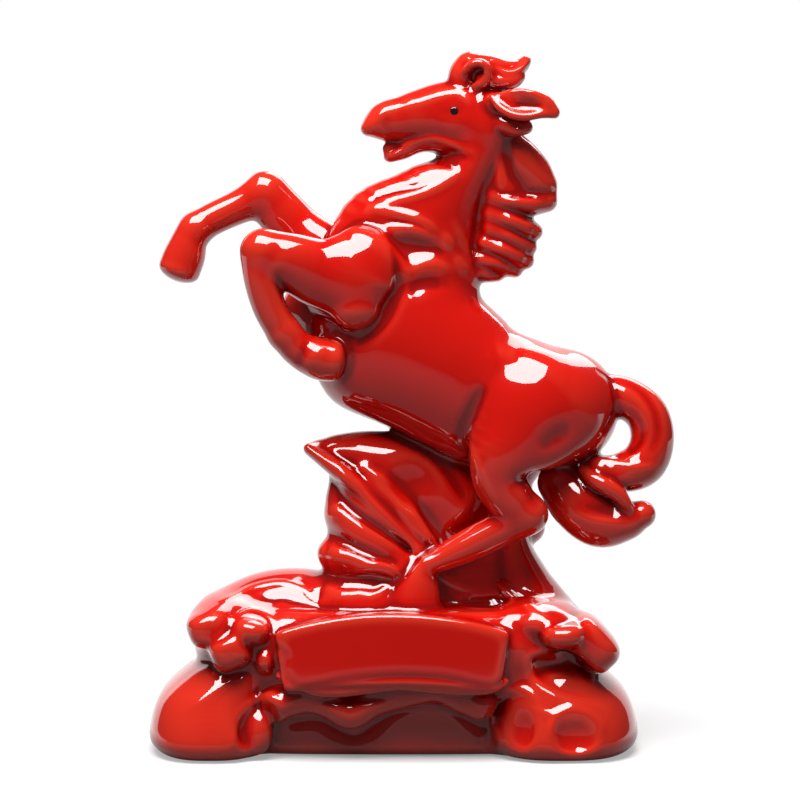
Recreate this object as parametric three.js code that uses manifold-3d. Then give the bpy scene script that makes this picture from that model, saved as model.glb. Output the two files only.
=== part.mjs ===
// A red glazed ceramic horse that rears up on a rocky plinth, in millimetres, +Z up.
// The horse faces -X with its near side towards -Y. Every piece is one casting as it leaves its
// mould, and the castings are luted together with slip along flat or fitted seams.
import * as THREE from "three";
import { mergeVertices } from "three/addons/utils/BufferGeometryUtils.js";
import Module from "manifold-3d";

const wasm = await Module();
wasm.setup();

// Driving dimensions of the plinth: a core, and a foot under each of its ends
const PLINTH_HEIGHT = 61;
const PLINTH_WALL = 5;
const FOOT_SPAN = 206;
const FOOT_DEPTH = 90;
const FOOT_ROLL_HEIGHT = 9;
const FOOT_ROLL_INSET = 4;
const FOOT_KNEE_HEIGHT = 24;
const FOOT_KNEE_INSET = 6;
const FOOT_KNEE_SLOPE = 14;
const FOOT_TOP_HEIGHT = 38;
const FOOT_TOP_INSET = 16;
const FOOT_TOP_SLOPE = 28;
const FOOT_KNEE_LEAN = 2;
const FOOT_TOP_LEAN = 12;
const LEFT_FOOT_LENGTH = 54;
const RIGHT_FOOT_LENGTH = 66;
const CORE_SOLE_LENGTH = 190;
const CORE_SOLE_DEPTH = 54;
const ARCH_HEIGHT = 20;
const WAIST_LENGTH = 166;
const WAIST_DEPTH = 74;
const WAIST_HEIGHT = 33;
const LEDGE_LENGTH = 168;
const LEDGE_DEPTH = 80;
const LEDGE_HEIGHT = 48;
const TOP_LENGTH = 150;
const TOP_DEPTH = 66;
const PLINTH_SQUARENESS = 2.6;

// Driving dimensions of the folds that hang between the feet, of the scoops and of the blank plaque
const FOLD_DEPTH = 14;
const FOLD_THICKNESS = 16;
const SCOOP_DEPTH = 5;
const PLAQUE_LENGTH = 96;
const PLAQUE_HEIGHT = 33;
const PLAQUE_TILT = 4;
const PLAQUE_CENTRE = -1;
const PLAQUE_SILL = 27;
const PLAQUE_TAPER = 4;
const PLAQUE_ARCH = 7;
const PLAQUE_SILL_ARCH = 8;
const PLAQUE_EDGE = 1.5;
const PLAQUE_PROUD = 5;

// Driving dimensions of the horse. Its stations are drawn in hundredths of its height, and their
// depths and widths are shares of the sizes below.
const HORSE_HEIGHT = 232;
const TRUNK_DEPTH = 76;
const TRUNK_WIDTH = 56;
const NECK_DEPTH = 65;
const NECK_WIDTH = 31;
const HEAD_DEPTH = 31;
const HEAD_WIDTH = 26;
const JAW_DEPTH = 12;
const MUZZLE_WIDTH = 17;
const FORELOCK_DEPTH = 12;
const FORELOCK_WIDTH = 17;
const LOCK_DEPTH = 18;
const MANE_WIDTH = 20;
const SHOULDER_SPREAD = 36;
const FOREARM_DEPTH = 42;
const FOREARM_WIDTH = 24;
const HIP_SPREAD = 36;
const THIGH_DEPTH = 44;
const THIGH_WIDTH = 28;
const CANNON_WIDTH = 14;
const FORE_CANNON_DEPTH = 14;
const HIND_CANNON_DEPTH = 12;
const FORE_HOOF_LENGTH = 18;
const FORE_HOOF_WIDTH = 19;
const HIND_HOOF_LENGTH = 22;
const HIND_HOOF_WIDTH = 21;
const EAR_SPREAD = 31;
const EAR_DEPTH = 13.4;
const EAR_THICKNESS = 9;
const EAR_CUP_LENGTH = 16;
const EAR_CUP_HEIGHT = 8;
const EAR_CUP_DEPTH = 4;
const EAR_CUP_BACK = 3;
const EAR_CUP_DROP = 1.5;
const TAIL_DEPTH = 20;
const TAIL_WIDTH = 20;
const EYE_DIAMETER = 3.5;
const EYE_THICKNESS = 1.9;
const EYE_BED = 0.2;
const EYE_FORWARD = 2;
const EYE_RISE = 2;

// Driving dimensions of the rock under the belly
const ROCK_LENGTH = 96;
const ROCK_WIDTH = 32;
const SLAB_DEPTH = 44;

// The slip joint that is left between two castings
const SLIP_GAP = 0.3;

// Numbers of facets
const TRUNK_SIDES = 14;
const LIMB_SIDES = 10;
const LOCK_SIDES = 6;
const ROCK_SIDES = 7;
const PLINTH_SIDES = 22;
const PLAQUE_SIDES = 12;
const LUMP_SIDES = 10;
const LIMB_STEPS = 2;
const TIER_STEPS = 2;
const CAP_RINGS = 3;
const CUTTER_SIZE = 600;

// A place on the horse: x and z in hundredths of its height, with z above the plinth
const place = (x, y, z) => (
  new THREE.Vector3((x * HORSE_HEIGHT) / 100, y, (z * HORSE_HEIGHT) / 100)
);

// A station of a limb: its centre, its half depth in the plane of its bends and its half width
// from side to side
const at = (x, y, z, deep, wide) => ({ centre: place(x, y, z), deep, wide });

// The trunk, from the breast to the buttocks
const TRUNK = [
  at(-7.8, 0, 54.7, 0.395 * TRUNK_DEPTH, 0.36 * TRUNK_WIDTH),
  at(-1.3, 0, 50, 0.5 * TRUNK_DEPTH, 0.46 * TRUNK_WIDTH),
  at(6.9, 0, 44.2, 0.441 * TRUNK_DEPTH, 0.5 * TRUNK_WIDTH),
  at(15.5, 0, 38.6, 0.401 * TRUNK_DEPTH, 0.48 * TRUNK_WIDTH),
  at(24.6, 0, 36.4, 0.349 * TRUNK_DEPTH, 0.48 * TRUNK_WIDTH),
  at(30.2, 0, 35.6, 0.329 * TRUNK_DEPTH, 0.44 * TRUNK_WIDTH),
];
const NECK = [
  at(0.2, 0, 56.9, 0.492 * NECK_DEPTH, 0.66 * NECK_WIDTH),
  at(3.2, 0, 65.5, 0.5 * NECK_DEPTH, 0.58 * NECK_WIDTH),
  at(7.5, 0, 72.8, 0.338 * NECK_DEPTH, 0.5 * NECK_WIDTH),
  at(12.5, 0, 79.3, 0.215 * NECK_DEPTH, 0.42 * NECK_WIDTH),
  at(16.4, 0, 84.9, 0.215 * NECK_DEPTH, 0.38 * NECK_WIDTH),
];
const SKULL = [
  at(16.8, 0, 87.1, 0.452 * HEAD_DEPTH, 0.46 * HEAD_WIDTH),
  at(12.1, 0, 87.9, 0.5 * HEAD_DEPTH, 0.5 * HEAD_WIDTH),
  at(6.9, 0, 88.4, 0.419 * HEAD_DEPTH, 0.44 * HEAD_WIDTH),
  at(2.6, 0, 87.5, 0.323 * HEAD_DEPTH, 0.36 * HEAD_WIDTH),
  at(-1.3, 0, 87.1, 0.258 * HEAD_DEPTH, 0.5 * MUZZLE_WIDTH),
  at(-3.9, 0, 86.2, 0.177 * HEAD_DEPTH, 0.42 * MUZZLE_WIDTH),
];
const JAW = [
  at(9.5, 0, 84.1, 0.5 * JAW_DEPTH, 0.34 * HEAD_WIDTH),
  at(4.3, 0, 82.5, 0.35 * JAW_DEPTH, 0.38 * MUZZLE_WIDTH),
  at(0.9, 0, 81.5, 0.33 * JAW_DEPTH, 0.35 * MUZZLE_WIDTH),
  at(-0.9, 0, 81.2, 0.29 * JAW_DEPTH, 0.3 * MUZZLE_WIDTH),
];
const FORELOCK = [
  at(12.1, 0, 93.1, 0.46 * FORELOCK_DEPTH, 0.47 * FORELOCK_WIDTH),
  at(12.5, 0, 96.6, 0.5 * FORELOCK_DEPTH, 0.5 * FORELOCK_WIDTH),
  at(14.7, 0, 97.8, 0.42 * FORELOCK_DEPTH, 0.47 * FORELOCK_WIDTH),
  at(18.5, 0, 97.4, 0.42 * FORELOCK_DEPTH, 0.41 * FORELOCK_WIDTH),
  at(21.6, 0, 96.6, 0.38 * FORELOCK_DEPTH, 0.35 * FORELOCK_WIDTH),
  at(23.7, 0, 97.6, 0.21 * FORELOCK_DEPTH, 0.24 * FORELOCK_WIDTH),
];
const UNDER_FORELOCK = [
  at(15.5, -0.12 * FORELOCK_WIDTH, 94.8, 0.38 * FORELOCK_DEPTH, 0.41 * FORELOCK_WIDTH),
  at(19, -0.12 * FORELOCK_WIDTH, 94.4, 0.38 * FORELOCK_DEPTH, 0.41 * FORELOCK_WIDTH),
  at(22, -0.06 * FORELOCK_WIDTH, 94.4, 0.32 * FORELOCK_DEPTH, 0.29 * FORELOCK_WIDTH),
];
const EAR = [
  at(18.1, 0.29 * EAR_SPREAD, 90.1, 0.3 * EAR_DEPTH, 0.45 * EAR_THICKNESS),
  at(21.6, 0.39 * EAR_SPREAD, 90.1, 0.45 * EAR_DEPTH, 0.5 * EAR_THICKNESS),
  at(25.2, 0.45 * EAR_SPREAD, 89.9, 0.5 * EAR_DEPTH, 0.5 * EAR_THICKNESS),
  at(27.6, 0.48 * EAR_SPREAD, 89.4, 0.37 * EAR_DEPTH, 0.4 * EAR_THICKNESS),
  at(28.7, 0.5 * EAR_SPREAD, 89, 0.22 * EAR_DEPTH, 0.3 * EAR_THICKNESS),
];
const EAR_LOBE = [
  at(19.8, 0.26 * EAR_SPREAD, 87.1, 0.3 * EAR_DEPTH, 0.44 * EAR_THICKNESS),
  at(22, 0.29 * EAR_SPREAD, 86.2, 0.3 * EAR_DEPTH, 0.44 * EAR_THICKNESS),
  at(24.4, 0.26 * EAR_SPREAD, 86.4, 0.22 * EAR_DEPTH, 0.33 * EAR_THICKNESS),
];

// The locks of the mane, from the poll down to the withers
const MANE_LOCKS = [
  [
    at(19.8, 0, 84.9, 0.28 * LOCK_DEPTH, 0.4 * MANE_WIDTH),
    at(22.8, 0, 80.6, 0.47 * LOCK_DEPTH, 0.45 * MANE_WIDTH),
    at(25.9, 0, 75.9, 0.42 * LOCK_DEPTH, 0.45 * MANE_WIDTH),
    at(27.8, 0, 72.6, 0.19 * LOCK_DEPTH, 0.3 * MANE_WIDTH),
  ],
  [
    at(17.7, 0, 82.3, 0.33 * LOCK_DEPTH, 0.45 * MANE_WIDTH),
    at(19.4, 0, 77.2, 0.5 * LOCK_DEPTH, 0.5 * MANE_WIDTH),
    at(22.8, 0, 73.3, 0.47 * LOCK_DEPTH, 0.45 * MANE_WIDTH),
  ],
  [
    at(17.7, 0, 75.9, 0.47 * LOCK_DEPTH, 0.5 * MANE_WIDTH),
    at(21.1, 0, 71.8, 0.31 * LOCK_DEPTH, 0.45 * MANE_WIDTH),
    at(25, 0, 68.5, 0.22 * LOCK_DEPTH, 0.3 * MANE_WIDTH),
  ],
  [
    at(16.8, 0, 71.6, 0.47 * LOCK_DEPTH, 0.5 * MANE_WIDTH),
    at(20.7, 0, 68.1, 0.28 * LOCK_DEPTH, 0.4 * MANE_WIDTH),
    at(25, 0, 65.1, 0.21 * LOCK_DEPTH, 0.25 * MANE_WIDTH),
  ],
  [
    at(16.4, 0, 66.8, 0.47 * LOCK_DEPTH, 0.5 * MANE_WIDTH),
    at(19.8, 0, 64.7, 0.28 * LOCK_DEPTH, 0.4 * MANE_WIDTH),
    at(24.1, 0, 62.1, 0.19 * LOCK_DEPTH, 0.25 * MANE_WIDTH),
  ],
  [
    at(15.5, 0, 64.2, 0.39 * LOCK_DEPTH, 0.45 * MANE_WIDTH),
    at(18.3, 0, 61.6, 0.25 * LOCK_DEPTH, 0.35 * MANE_WIDTH),
    at(21.1, 0, 61, 0.14 * LOCK_DEPTH, 0.2 * MANE_WIDTH),
  ],
  [
    at(14.2, 0, 62.1, 0.28 * LOCK_DEPTH, 0.4 * MANE_WIDTH),
    at(15.5, 0, 59.5, 0.19 * LOCK_DEPTH, 0.3 * MANE_WIDTH),
  ],
];

// The legs, on the far side; the caller mirrors the near ones.
const NEAR_FOREARM = [
  at(-4.5, 0.45 * SHOULDER_SPREAD, 58.2, 0.417 * FOREARM_DEPTH, 0.46 * FOREARM_WIDTH),
  at(-8.6, 0.5 * SHOULDER_SPREAD, 58, 0.5 * FOREARM_DEPTH, 0.5 * FOREARM_WIDTH),
  at(-13.4, 0.56 * SHOULDER_SPREAD, 59.7, 0.417 * FOREARM_DEPTH, 0.46 * FOREARM_WIDTH),
  at(-18.3, 0.62 * SHOULDER_SPREAD, 62.5, 0.286 * FOREARM_DEPTH, 0.42 * FOREARM_WIDTH),
  at(-23.1, 0.64 * SHOULDER_SPREAD, 64.2, 0.231 * FOREARM_DEPTH, 0.38 * FOREARM_WIDTH),
];
const NEAR_FORE_CANNON = [
  at(-23.1, 0.64 * SHOULDER_SPREAD, 64.2, 0.231 * FOREARM_DEPTH, 0.38 * FOREARM_WIDTH),
  at(-23.5, 0.66 * SHOULDER_SPREAD, 59.7, 0.53 * FORE_CANNON_DEPTH, 0.57 * CANNON_WIDTH),
  at(-22, 0.66 * SHOULDER_SPREAD, 54.3, 0.5 * FORE_CANNON_DEPTH, 0.53 * CANNON_WIDTH),
  at(-19.4, 0.64 * SHOULDER_SPREAD, 49.8, 0.5 * FORE_CANNON_DEPTH, 0.53 * CANNON_WIDTH),
];
const NEAR_FORE_HOOF = [
  at(-19.4, 0.64 * SHOULDER_SPREAD, 49.8, 0.5 * FORE_CANNON_DEPTH, 0.53 * CANNON_WIDTH),
  at(-16.8, 0.61 * SHOULDER_SPREAD, 47, 0.42 * FORE_HOOF_LENGTH, 0.42 * FORE_HOOF_WIDTH),
  at(-13.4, 0.58 * SHOULDER_SPREAD, 45.3, 0.49 * FORE_HOOF_LENGTH, 0.47 * FORE_HOOF_WIDTH),
  at(-10.8, 0.56 * SHOULDER_SPREAD, 44.8, 0.49 * FORE_HOOF_LENGTH, 0.5 * FORE_HOOF_WIDTH),
];
const FAR_FOREARM = [
  at(-8.8, 0.28 * SHOULDER_SPREAD, 61.9, 0.333 * FOREARM_DEPTH, 0.42 * FOREARM_WIDTH),
  at(-13.8, 0.36 * SHOULDER_SPREAD, 64.7, 0.286 * FOREARM_DEPTH, 0.42 * FOREARM_WIDTH),
  at(-17.5, 0.42 * SHOULDER_SPREAD, 67.5, 0.262 * FOREARM_DEPTH, 0.38 * FOREARM_WIDTH),
  at(-20.7, 0.42 * SHOULDER_SPREAD, 70.9, 0.25 * FOREARM_DEPTH, 0.35 * FOREARM_WIDTH),
  at(-23.3, 0.42 * SHOULDER_SPREAD, 74.1, 0.231 * FOREARM_DEPTH, 0.33 * FOREARM_WIDTH),
];
const FAR_FORE_CANNON = [
  at(-23.3, 0.42 * SHOULDER_SPREAD, 74.1, 0.231 * FOREARM_DEPTH, 0.33 * FOREARM_WIDTH),
  at(-27.6, 0.42 * SHOULDER_SPREAD, 72, 0.53 * FORE_CANNON_DEPTH, 0.53 * CANNON_WIDTH),
  at(-32.8, 0.39 * SHOULDER_SPREAD, 69.6, 0.49 * FORE_CANNON_DEPTH, 0.5 * CANNON_WIDTH),
  at(-36, 0.36 * SHOULDER_SPREAD, 67.7, 0.51 * FORE_CANNON_DEPTH, 0.53 * CANNON_WIDTH),
];
const FAR_FORE_HOOF = [
  at(-36, 0.36 * SHOULDER_SPREAD, 67.7, 0.51 * FORE_CANNON_DEPTH, 0.53 * CANNON_WIDTH),
  at(-37.1, 0.35 * SHOULDER_SPREAD, 65.7, 0.42 * FORE_HOOF_LENGTH, 0.42 * FORE_HOOF_WIDTH),
  at(-37.9, 0.34 * SHOULDER_SPREAD, 63.1, 0.49 * FORE_HOOF_LENGTH, 0.45 * FORE_HOOF_WIDTH),
  at(-39, 0.34 * SHOULDER_SPREAD, 60.3, 0.5 * FORE_HOOF_LENGTH, 0.5 * FORE_HOOF_WIDTH),
];
const NEAR_THIGH = [
  at(29.1, 0.39 * HIP_SPREAD, 37.9, 0.5 * THIGH_DEPTH, 0.5 * THIGH_WIDTH),
  at(24.4, 0.52 * HIP_SPREAD, 33.4, 0.5 * THIGH_DEPTH, 0.46 * THIGH_WIDTH),
  at(20, 0.58 * HIP_SPREAD, 28.4, 0.364 * THIGH_DEPTH, 0.43 * THIGH_WIDTH),
  at(19, 0.58 * HIP_SPREAD, 23.7, 0.261 * THIGH_DEPTH, 0.38 * THIGH_WIDTH),
  at(21.1, 0.58 * HIP_SPREAD, 19.8, 0.227 * THIGH_DEPTH, 0.34 * THIGH_WIDTH),
  at(23.7, 0.56 * HIP_SPREAD, 17.2, 0.191 * THIGH_DEPTH, 0.3 * THIGH_WIDTH),
];
const NEAR_HIND_CANNON = [
  at(23.9, 0.56 * HIP_SPREAD, 16.8, 0.182 * THIGH_DEPTH, 0.3 * THIGH_WIDTH),
  at(19, 0.53 * HIP_SPREAD, 13.4, 0.52 * HIND_CANNON_DEPTH, 0.57 * CANNON_WIDTH),
  at(13.4, 0.5 * HIP_SPREAD, 9.9, 0.48 * HIND_CANNON_DEPTH, 0.53 * CANNON_WIDTH),
  at(8, 0.48 * HIP_SPREAD, 7.1, 0.48 * HIND_CANNON_DEPTH, 0.53 * CANNON_WIDTH),
];
const NEAR_HIND_HOOF = [
  at(7.5, 0.47 * HIP_SPREAD, 6.9, 0.143 * THIGH_DEPTH, 0.27 * THIGH_WIDTH),
  at(5.2, 0.47 * HIP_SPREAD, 4.7, 0.39 * HIND_HOOF_LENGTH, 0.43 * HIND_HOOF_WIDTH),
  at(3.7, 0.47 * HIP_SPREAD, 1.9, 0.5 * HIND_HOOF_LENGTH, 0.5 * HIND_HOOF_WIDTH),
];
const FAR_THIGH = [
  at(28.9, 0.39 * HIP_SPREAD, 36.6, 0.477 * THIGH_DEPTH, 0.46 * THIGH_WIDTH),
  at(25, 0.5 * HIP_SPREAD, 30.8, 0.432 * THIGH_DEPTH, 0.43 * THIGH_WIDTH),
  at(21.8, 0.53 * HIP_SPREAD, 25.2, 0.318 * THIGH_DEPTH, 0.39 * THIGH_WIDTH),
  at(21.1, 0.53 * HIP_SPREAD, 20.3, 0.239 * THIGH_DEPTH, 0.34 * THIGH_WIDTH),
  at(22.8, 0.5 * HIP_SPREAD, 15.9, 0.191 * THIGH_DEPTH, 0.3 * THIGH_WIDTH),
  at(24.6, 0.5 * HIP_SPREAD, 12.9, 0.159 * THIGH_DEPTH, 0.29 * THIGH_WIDTH),
];
const FAR_HIND_CANNON = [
  at(24.6, 0.5 * HIP_SPREAD, 12.9, 0.152 * THIGH_DEPTH, 0.27 * THIGH_WIDTH),
  at(20.5, 0.47 * HIP_SPREAD, 9.1, 0.42 * HIND_CANNON_DEPTH, 0.5 * CANNON_WIDTH),
  at(15.5, 0.45 * HIP_SPREAD, 5.8, 0.39 * HIND_CANNON_DEPTH, 0.48 * CANNON_WIDTH),
  at(12.9, 0.45 * HIP_SPREAD, 3.9, 0.125 * THIGH_DEPTH, 0.25 * THIGH_WIDTH),
];
const FAR_HIND_HOOF = [
  at(12.9, 0.45 * HIP_SPREAD, 3.7, 0.125 * THIGH_DEPTH, 0.25 * THIGH_WIDTH),
  at(13.6, 0.45 * HIP_SPREAD, 2.2, 0.33 * HIND_HOOF_LENGTH, 0.43 * HIND_HOOF_WIDTH),
  at(14.2, 0.45 * HIP_SPREAD, 0.9, 0.42 * HIND_HOOF_LENGTH, 0.48 * HIND_HOOF_WIDTH),
];

// The tail, from its root over the top of its arch and back under the buttocks
const TAIL_ARCH = [
  at(34.5, 0, 37.3, 0.42 * TAIL_DEPTH, 0.45 * TAIL_WIDTH),
  at(38.8, 0, 37.9, 0.44 * TAIL_DEPTH, 0.48 * TAIL_WIDTH),
  at(42.7, -0.05 * TAIL_WIDTH, 37.1, 0.44 * TAIL_DEPTH, 0.48 * TAIL_WIDTH),
  at(45.9, -0.1 * TAIL_WIDTH, 34.3, 0.45 * TAIL_DEPTH, 0.5 * TAIL_WIDTH),
  at(46.8, -0.15 * TAIL_WIDTH, 29.7, 0.46 * TAIL_DEPTH, 0.5 * TAIL_WIDTH),
  at(45, -0.2 * TAIL_WIDTH, 25.6, 0.5 * TAIL_DEPTH, 0.52 * TAIL_WIDTH),
  at(40.9, -0.3 * TAIL_WIDTH, 24.1, 0.46 * TAIL_DEPTH, 0.5 * TAIL_WIDTH),
  at(36.9, -0.4 * TAIL_WIDTH, 24.6, 0.35 * TAIL_DEPTH, 0.4 * TAIL_WIDTH),
];
const TAIL_TIP = [
  at(30.2, -0.1 * TAIL_WIDTH, 22.4, 0.5 * TAIL_DEPTH, 0.45 * TAIL_WIDTH),
  at(33.2, -0.2 * TAIL_WIDTH, 18.5, 0.59 * TAIL_DEPTH, 0.6 * TAIL_WIDTH),
  at(37.3, -0.3 * TAIL_WIDTH, 15.5, 0.59 * TAIL_DEPTH, 0.6 * TAIL_WIDTH),
  at(42.2, -0.35 * TAIL_WIDTH, 15.5, 0.44 * TAIL_DEPTH, 0.5 * TAIL_WIDTH),
  at(45, -0.4 * TAIL_WIDTH, 16.6, 0.3 * TAIL_DEPTH, 0.35 * TAIL_WIDTH),
];

// The rock under the belly: the slabs that fan out to the left, two folds on the face of the upper
// one, the column and the core behind them, and the slope behind the hooves
const ROCK_SLABS = [
  [
    at(11.2, 0, 17.2, 0.41 * SLAB_DEPTH, 0.31 * ROCK_WIDTH),
    at(3.4, 0, 23.3, 0.386 * SLAB_DEPTH, 0.375 * ROCK_WIDTH),
    at(-3.9, 0, 26.3, 0.284 * SLAB_DEPTH, 0.375 * ROCK_WIDTH),
    at(-9.9, 0, 27.8, 0.168 * SLAB_DEPTH, 0.3 * ROCK_WIDTH),
    at(-13.4, 0, 28.4, 0.082 * SLAB_DEPTH, 0.19 * ROCK_WIDTH),
  ],
  [
    at(2.6, -0.22 * ROCK_WIDTH, 7.3, 0.114 * SLAB_DEPTH, 0.41 * ROCK_WIDTH),
    at(-2.2, -0.22 * ROCK_WIDTH, 10.6, 0.148 * SLAB_DEPTH, 0.47 * ROCK_WIDTH),
    at(-6.5, -0.19 * ROCK_WIDTH, 13.6, 0.159 * SLAB_DEPTH, 0.47 * ROCK_WIDTH),
    at(-9.5, -0.16 * ROCK_WIDTH, 16.2, 0.136 * SLAB_DEPTH, 0.34 * ROCK_WIDTH),
  ],
  [
    at(2.6, -0.25 * ROCK_WIDTH, 5.6, 0.114 * SLAB_DEPTH, 0.41 * ROCK_WIDTH),
    at(-2.6, -0.27 * ROCK_WIDTH, 7.8, 0.159 * SLAB_DEPTH, 0.5 * ROCK_WIDTH),
    at(-7.8, -0.25 * ROCK_WIDTH, 9.3, 0.17 * SLAB_DEPTH, 0.48 * ROCK_WIDTH),
    at(-10.6, -0.19 * ROCK_WIDTH, 9.5, 0.159 * SLAB_DEPTH, 0.34 * ROCK_WIDTH),
  ],
  [
    at(1.7, -0.25 * ROCK_WIDTH, 2.2, 0.114 * SLAB_DEPTH, 0.41 * ROCK_WIDTH),
    at(-4.3, -0.3 * ROCK_WIDTH, 2.8, 0.136 * SLAB_DEPTH, 0.52 * ROCK_WIDTH),
    at(-9.5, -0.28 * ROCK_WIDTH, 3.4, 0.136 * SLAB_DEPTH, 0.47 * ROCK_WIDTH),
    at(-11.6, -0.25 * ROCK_WIDTH, 3.9, 0.114 * SLAB_DEPTH, 0.31 * ROCK_WIDTH),
  ],
];
const ROCK_FOLDS = [
  [
    at(-14.7, -0.09 * ROCK_WIDTH, 28, 0.07 * SLAB_DEPTH, 0.22 * ROCK_WIDTH),
    at(-9.5, -0.33 * ROCK_WIDTH, 24.5, 0.09 * SLAB_DEPTH, 0.2 * ROCK_WIDTH),
    at(-3, -0.39 * ROCK_WIDTH, 19.3, 0.08 * SLAB_DEPTH, 0.19 * ROCK_WIDTH),
    at(2.6, -0.41 * ROCK_WIDTH, 13.8, 0.07 * SLAB_DEPTH, 0.18 * ROCK_WIDTH),
    at(5, -0.41 * ROCK_WIDTH, 10.6, 0.05 * SLAB_DEPTH, 0.16 * ROCK_WIDTH),
  ],
  [
    at(-5.2, -0.28 * ROCK_WIDTH, 25, 0.055 * SLAB_DEPTH, 0.16 * ROCK_WIDTH),
    at(-1.3, -0.34 * ROCK_WIDTH, 22.4, 0.06 * SLAB_DEPTH, 0.18 * ROCK_WIDTH),
    at(2.2, -0.38 * ROCK_WIDTH, 18.5, 0.06 * SLAB_DEPTH, 0.18 * ROCK_WIDTH),
    at(6.9, -0.39 * ROCK_WIDTH, 11.9, 0.04 * SLAB_DEPTH, 0.16 * ROCK_WIDTH),
  ],
];
const ROCK_COLUMN = [
  at(-5.6, 0, 0, 0.156 * ROCK_LENGTH, 0.53 * ROCK_WIDTH),
  at(-5.6, 0, 8.6, 0.142 * ROCK_LENGTH, 0.47 * ROCK_WIDTH),
  at(-5.2, 0, 17.2, 0.146 * ROCK_LENGTH, 0.41 * ROCK_WIDTH),
  at(-3.4, 0, 23.7, 0.177 * ROCK_LENGTH, 0.31 * ROCK_WIDTH),
];
const ROCK_CORE = [
  at(6.9, 0.16 * ROCK_WIDTH, 0, 0.48 * ROCK_LENGTH, 0.56 * ROCK_WIDTH),
  at(6.5, 0.16 * ROCK_WIDTH, 7.3, 0.417 * ROCK_LENGTH, 0.47 * ROCK_WIDTH),
  at(6.9, 0.12 * ROCK_WIDTH, 16.8, 0.396 * ROCK_LENGTH, 0.34 * ROCK_WIDTH),
  at(7.8, 0.12 * ROCK_WIDTH, 24.1, 0.344 * ROCK_LENGTH, 0.28 * ROCK_WIDTH),
];
const ROCK_SLOPE = [
  at(22.4, 0.25 * ROCK_WIDTH, 18.1, 0.062 * ROCK_LENGTH, 0.38 * ROCK_WIDTH),
  at(21.6, 0.28 * ROCK_WIDTH, 10.8, 0.083 * ROCK_LENGTH, 0.44 * ROCK_WIDTH),
  at(22.8, 0.28 * ROCK_WIDTH, 3.9, 0.135 * ROCK_LENGTH, 0.56 * ROCK_WIDTH),
  at(24.6, 0.25 * ROCK_WIDTH, 0, 0.188 * ROCK_LENGTH, 0.69 * ROCK_WIDTH),
];

// Luting seams: a point on the limb's line, the way along the limb, away from the torso
const seam = (x, y, z, alongX, alongY, alongZ) => ({
  point: place(x, y, z),
  along: new THREE.Vector3(alongX, alongY, alongZ).normalize(),
});
const NECK_SEAM = seam(5.6, 0, 69, 10, 0, 17);
const NEAR_FORE_SEAM = seam(-13.4, 0, 60.3, -11, 0, 5);
const FAR_FORE_SEAM = seam(-14.2, 0, 67.7, -1, 0, 1);
const NEAR_HIND_SEAM = seam(20.3, 0, 24.6, 0, 0, -1);
const FAR_HIND_SEAM = seam(21.6, 0, 22.4, 0, 0, -1);

// Turns a closed geometry into a solid.
function toSolid(geometry) {
  geometry.deleteAttribute("normal");
  geometry.deleteAttribute("uv");
  const merged = mergeVertices(geometry, 1e-4);
  return new wasm.Manifold(new wasm.Mesh({
    numProp: 3,
    vertProperties: new Float32Array(merged.attributes.position.array),
    triVerts: new Uint32Array(merged.index.array),
  }));
}

function union(solids) {
  return solids.reduce((sum, solid) => sum.add(solid));
}

// A closed skin over rings of points, with a pole at each end.
function skin(rings, firstPole, lastPole) {
  const sides = rings[0].length;
  const points = [firstPole, ...rings.flat(), lastPole];
  const last = points.length - 1;
  const vertex = (ring, side) => 1 + ring * sides + (side % sides);
  const faces = [];
  for (let side = 0; side < sides; side++) {
    faces.push(0, vertex(0, side + 1), vertex(0, side));
    for (let ring = 0; ring < rings.length - 1; ring++) {
      const corners = [vertex(ring, side), vertex(ring, side + 1)];
      corners.push(vertex(ring + 1, side + 1), vertex(ring + 1, side));
      faces.push(corners[0], corners[1], corners[2], corners[0], corners[2], corners[3]);
    }
    faces.push(last, vertex(rings.length - 1, side), vertex(rings.length - 1, side + 1));
  }
  const geometry = new THREE.BufferGeometry().setFromPoints(points);
  geometry.setIndex(faces);
  return toSolid(geometry);
}

// A limb: elliptical sections along a smooth curve through its stations, closed by rounded ends.
// side is -1 for the near side, 1 for the far side and 0 on the centre plane.
function limb(stations, { grow = 0, sides = LIMB_SIDES, side = 1 } = {}) {
  const centres = stations.map(({ centre }) => new THREE.Vector3(centre.x, centre.y * side, centre.z));
  const line = new THREE.CatmullRomCurve3(centres, false, "centripetal");
  const girths = stations.map(({ deep, wide }) => new THREE.Vector3(deep + grow, wide + grow, 0));
  const girth = new THREE.CatmullRomCurve3(girths, false, "catmullrom");
  const count = (stations.length - 1) * LIMB_STEPS;
  const section = (t, lead, share) => {
    const along = line.getTangent(t);
    const across = new THREE.Vector3(0, 1, 0).addScaledVector(along, -along.y).normalize();
    const depth = new THREE.Vector3().crossVectors(across, along);
    const middle = line.getPoint(t).addScaledVector(along, lead);
    const size = girth.getPoint(t).multiplyScalar(share);
    return Array.from({ length: sides }, (_, step) => {
      const angle = (2 * Math.PI * step) / sides;
      return middle.clone()
        .addScaledVector(depth, size.x * Math.cos(angle))
        .addScaledVector(across, size.y * Math.sin(angle));
    });
  };
  const capLength = (t) => Math.min(girth.getPoint(t).x, girth.getPoint(t).y);
  const rings = [];
  for (let ring = CAP_RINGS - 1; ring > 0; ring--) {
    const angle = (Math.PI / 2) * (ring / CAP_RINGS);
    rings.push(section(0, -capLength(0) * Math.sin(angle), Math.cos(angle)));
  }
  for (let step = 0; step <= count; step++) {
    rings.push(section(step / count, 0, 1));
  }
  for (let ring = 1; ring < CAP_RINGS; ring++) {
    const angle = (Math.PI / 2) * (ring / CAP_RINGS);
    rings.push(section(1, capLength(1) * Math.sin(angle), Math.cos(angle)));
  }
  const pole = (t, lead) => line.getPoint(t).addScaledVector(line.getTangent(t), lead);
  return skin(rings, pole(0, -capLength(0)), pole(1, capLength(1)));
}

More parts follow.
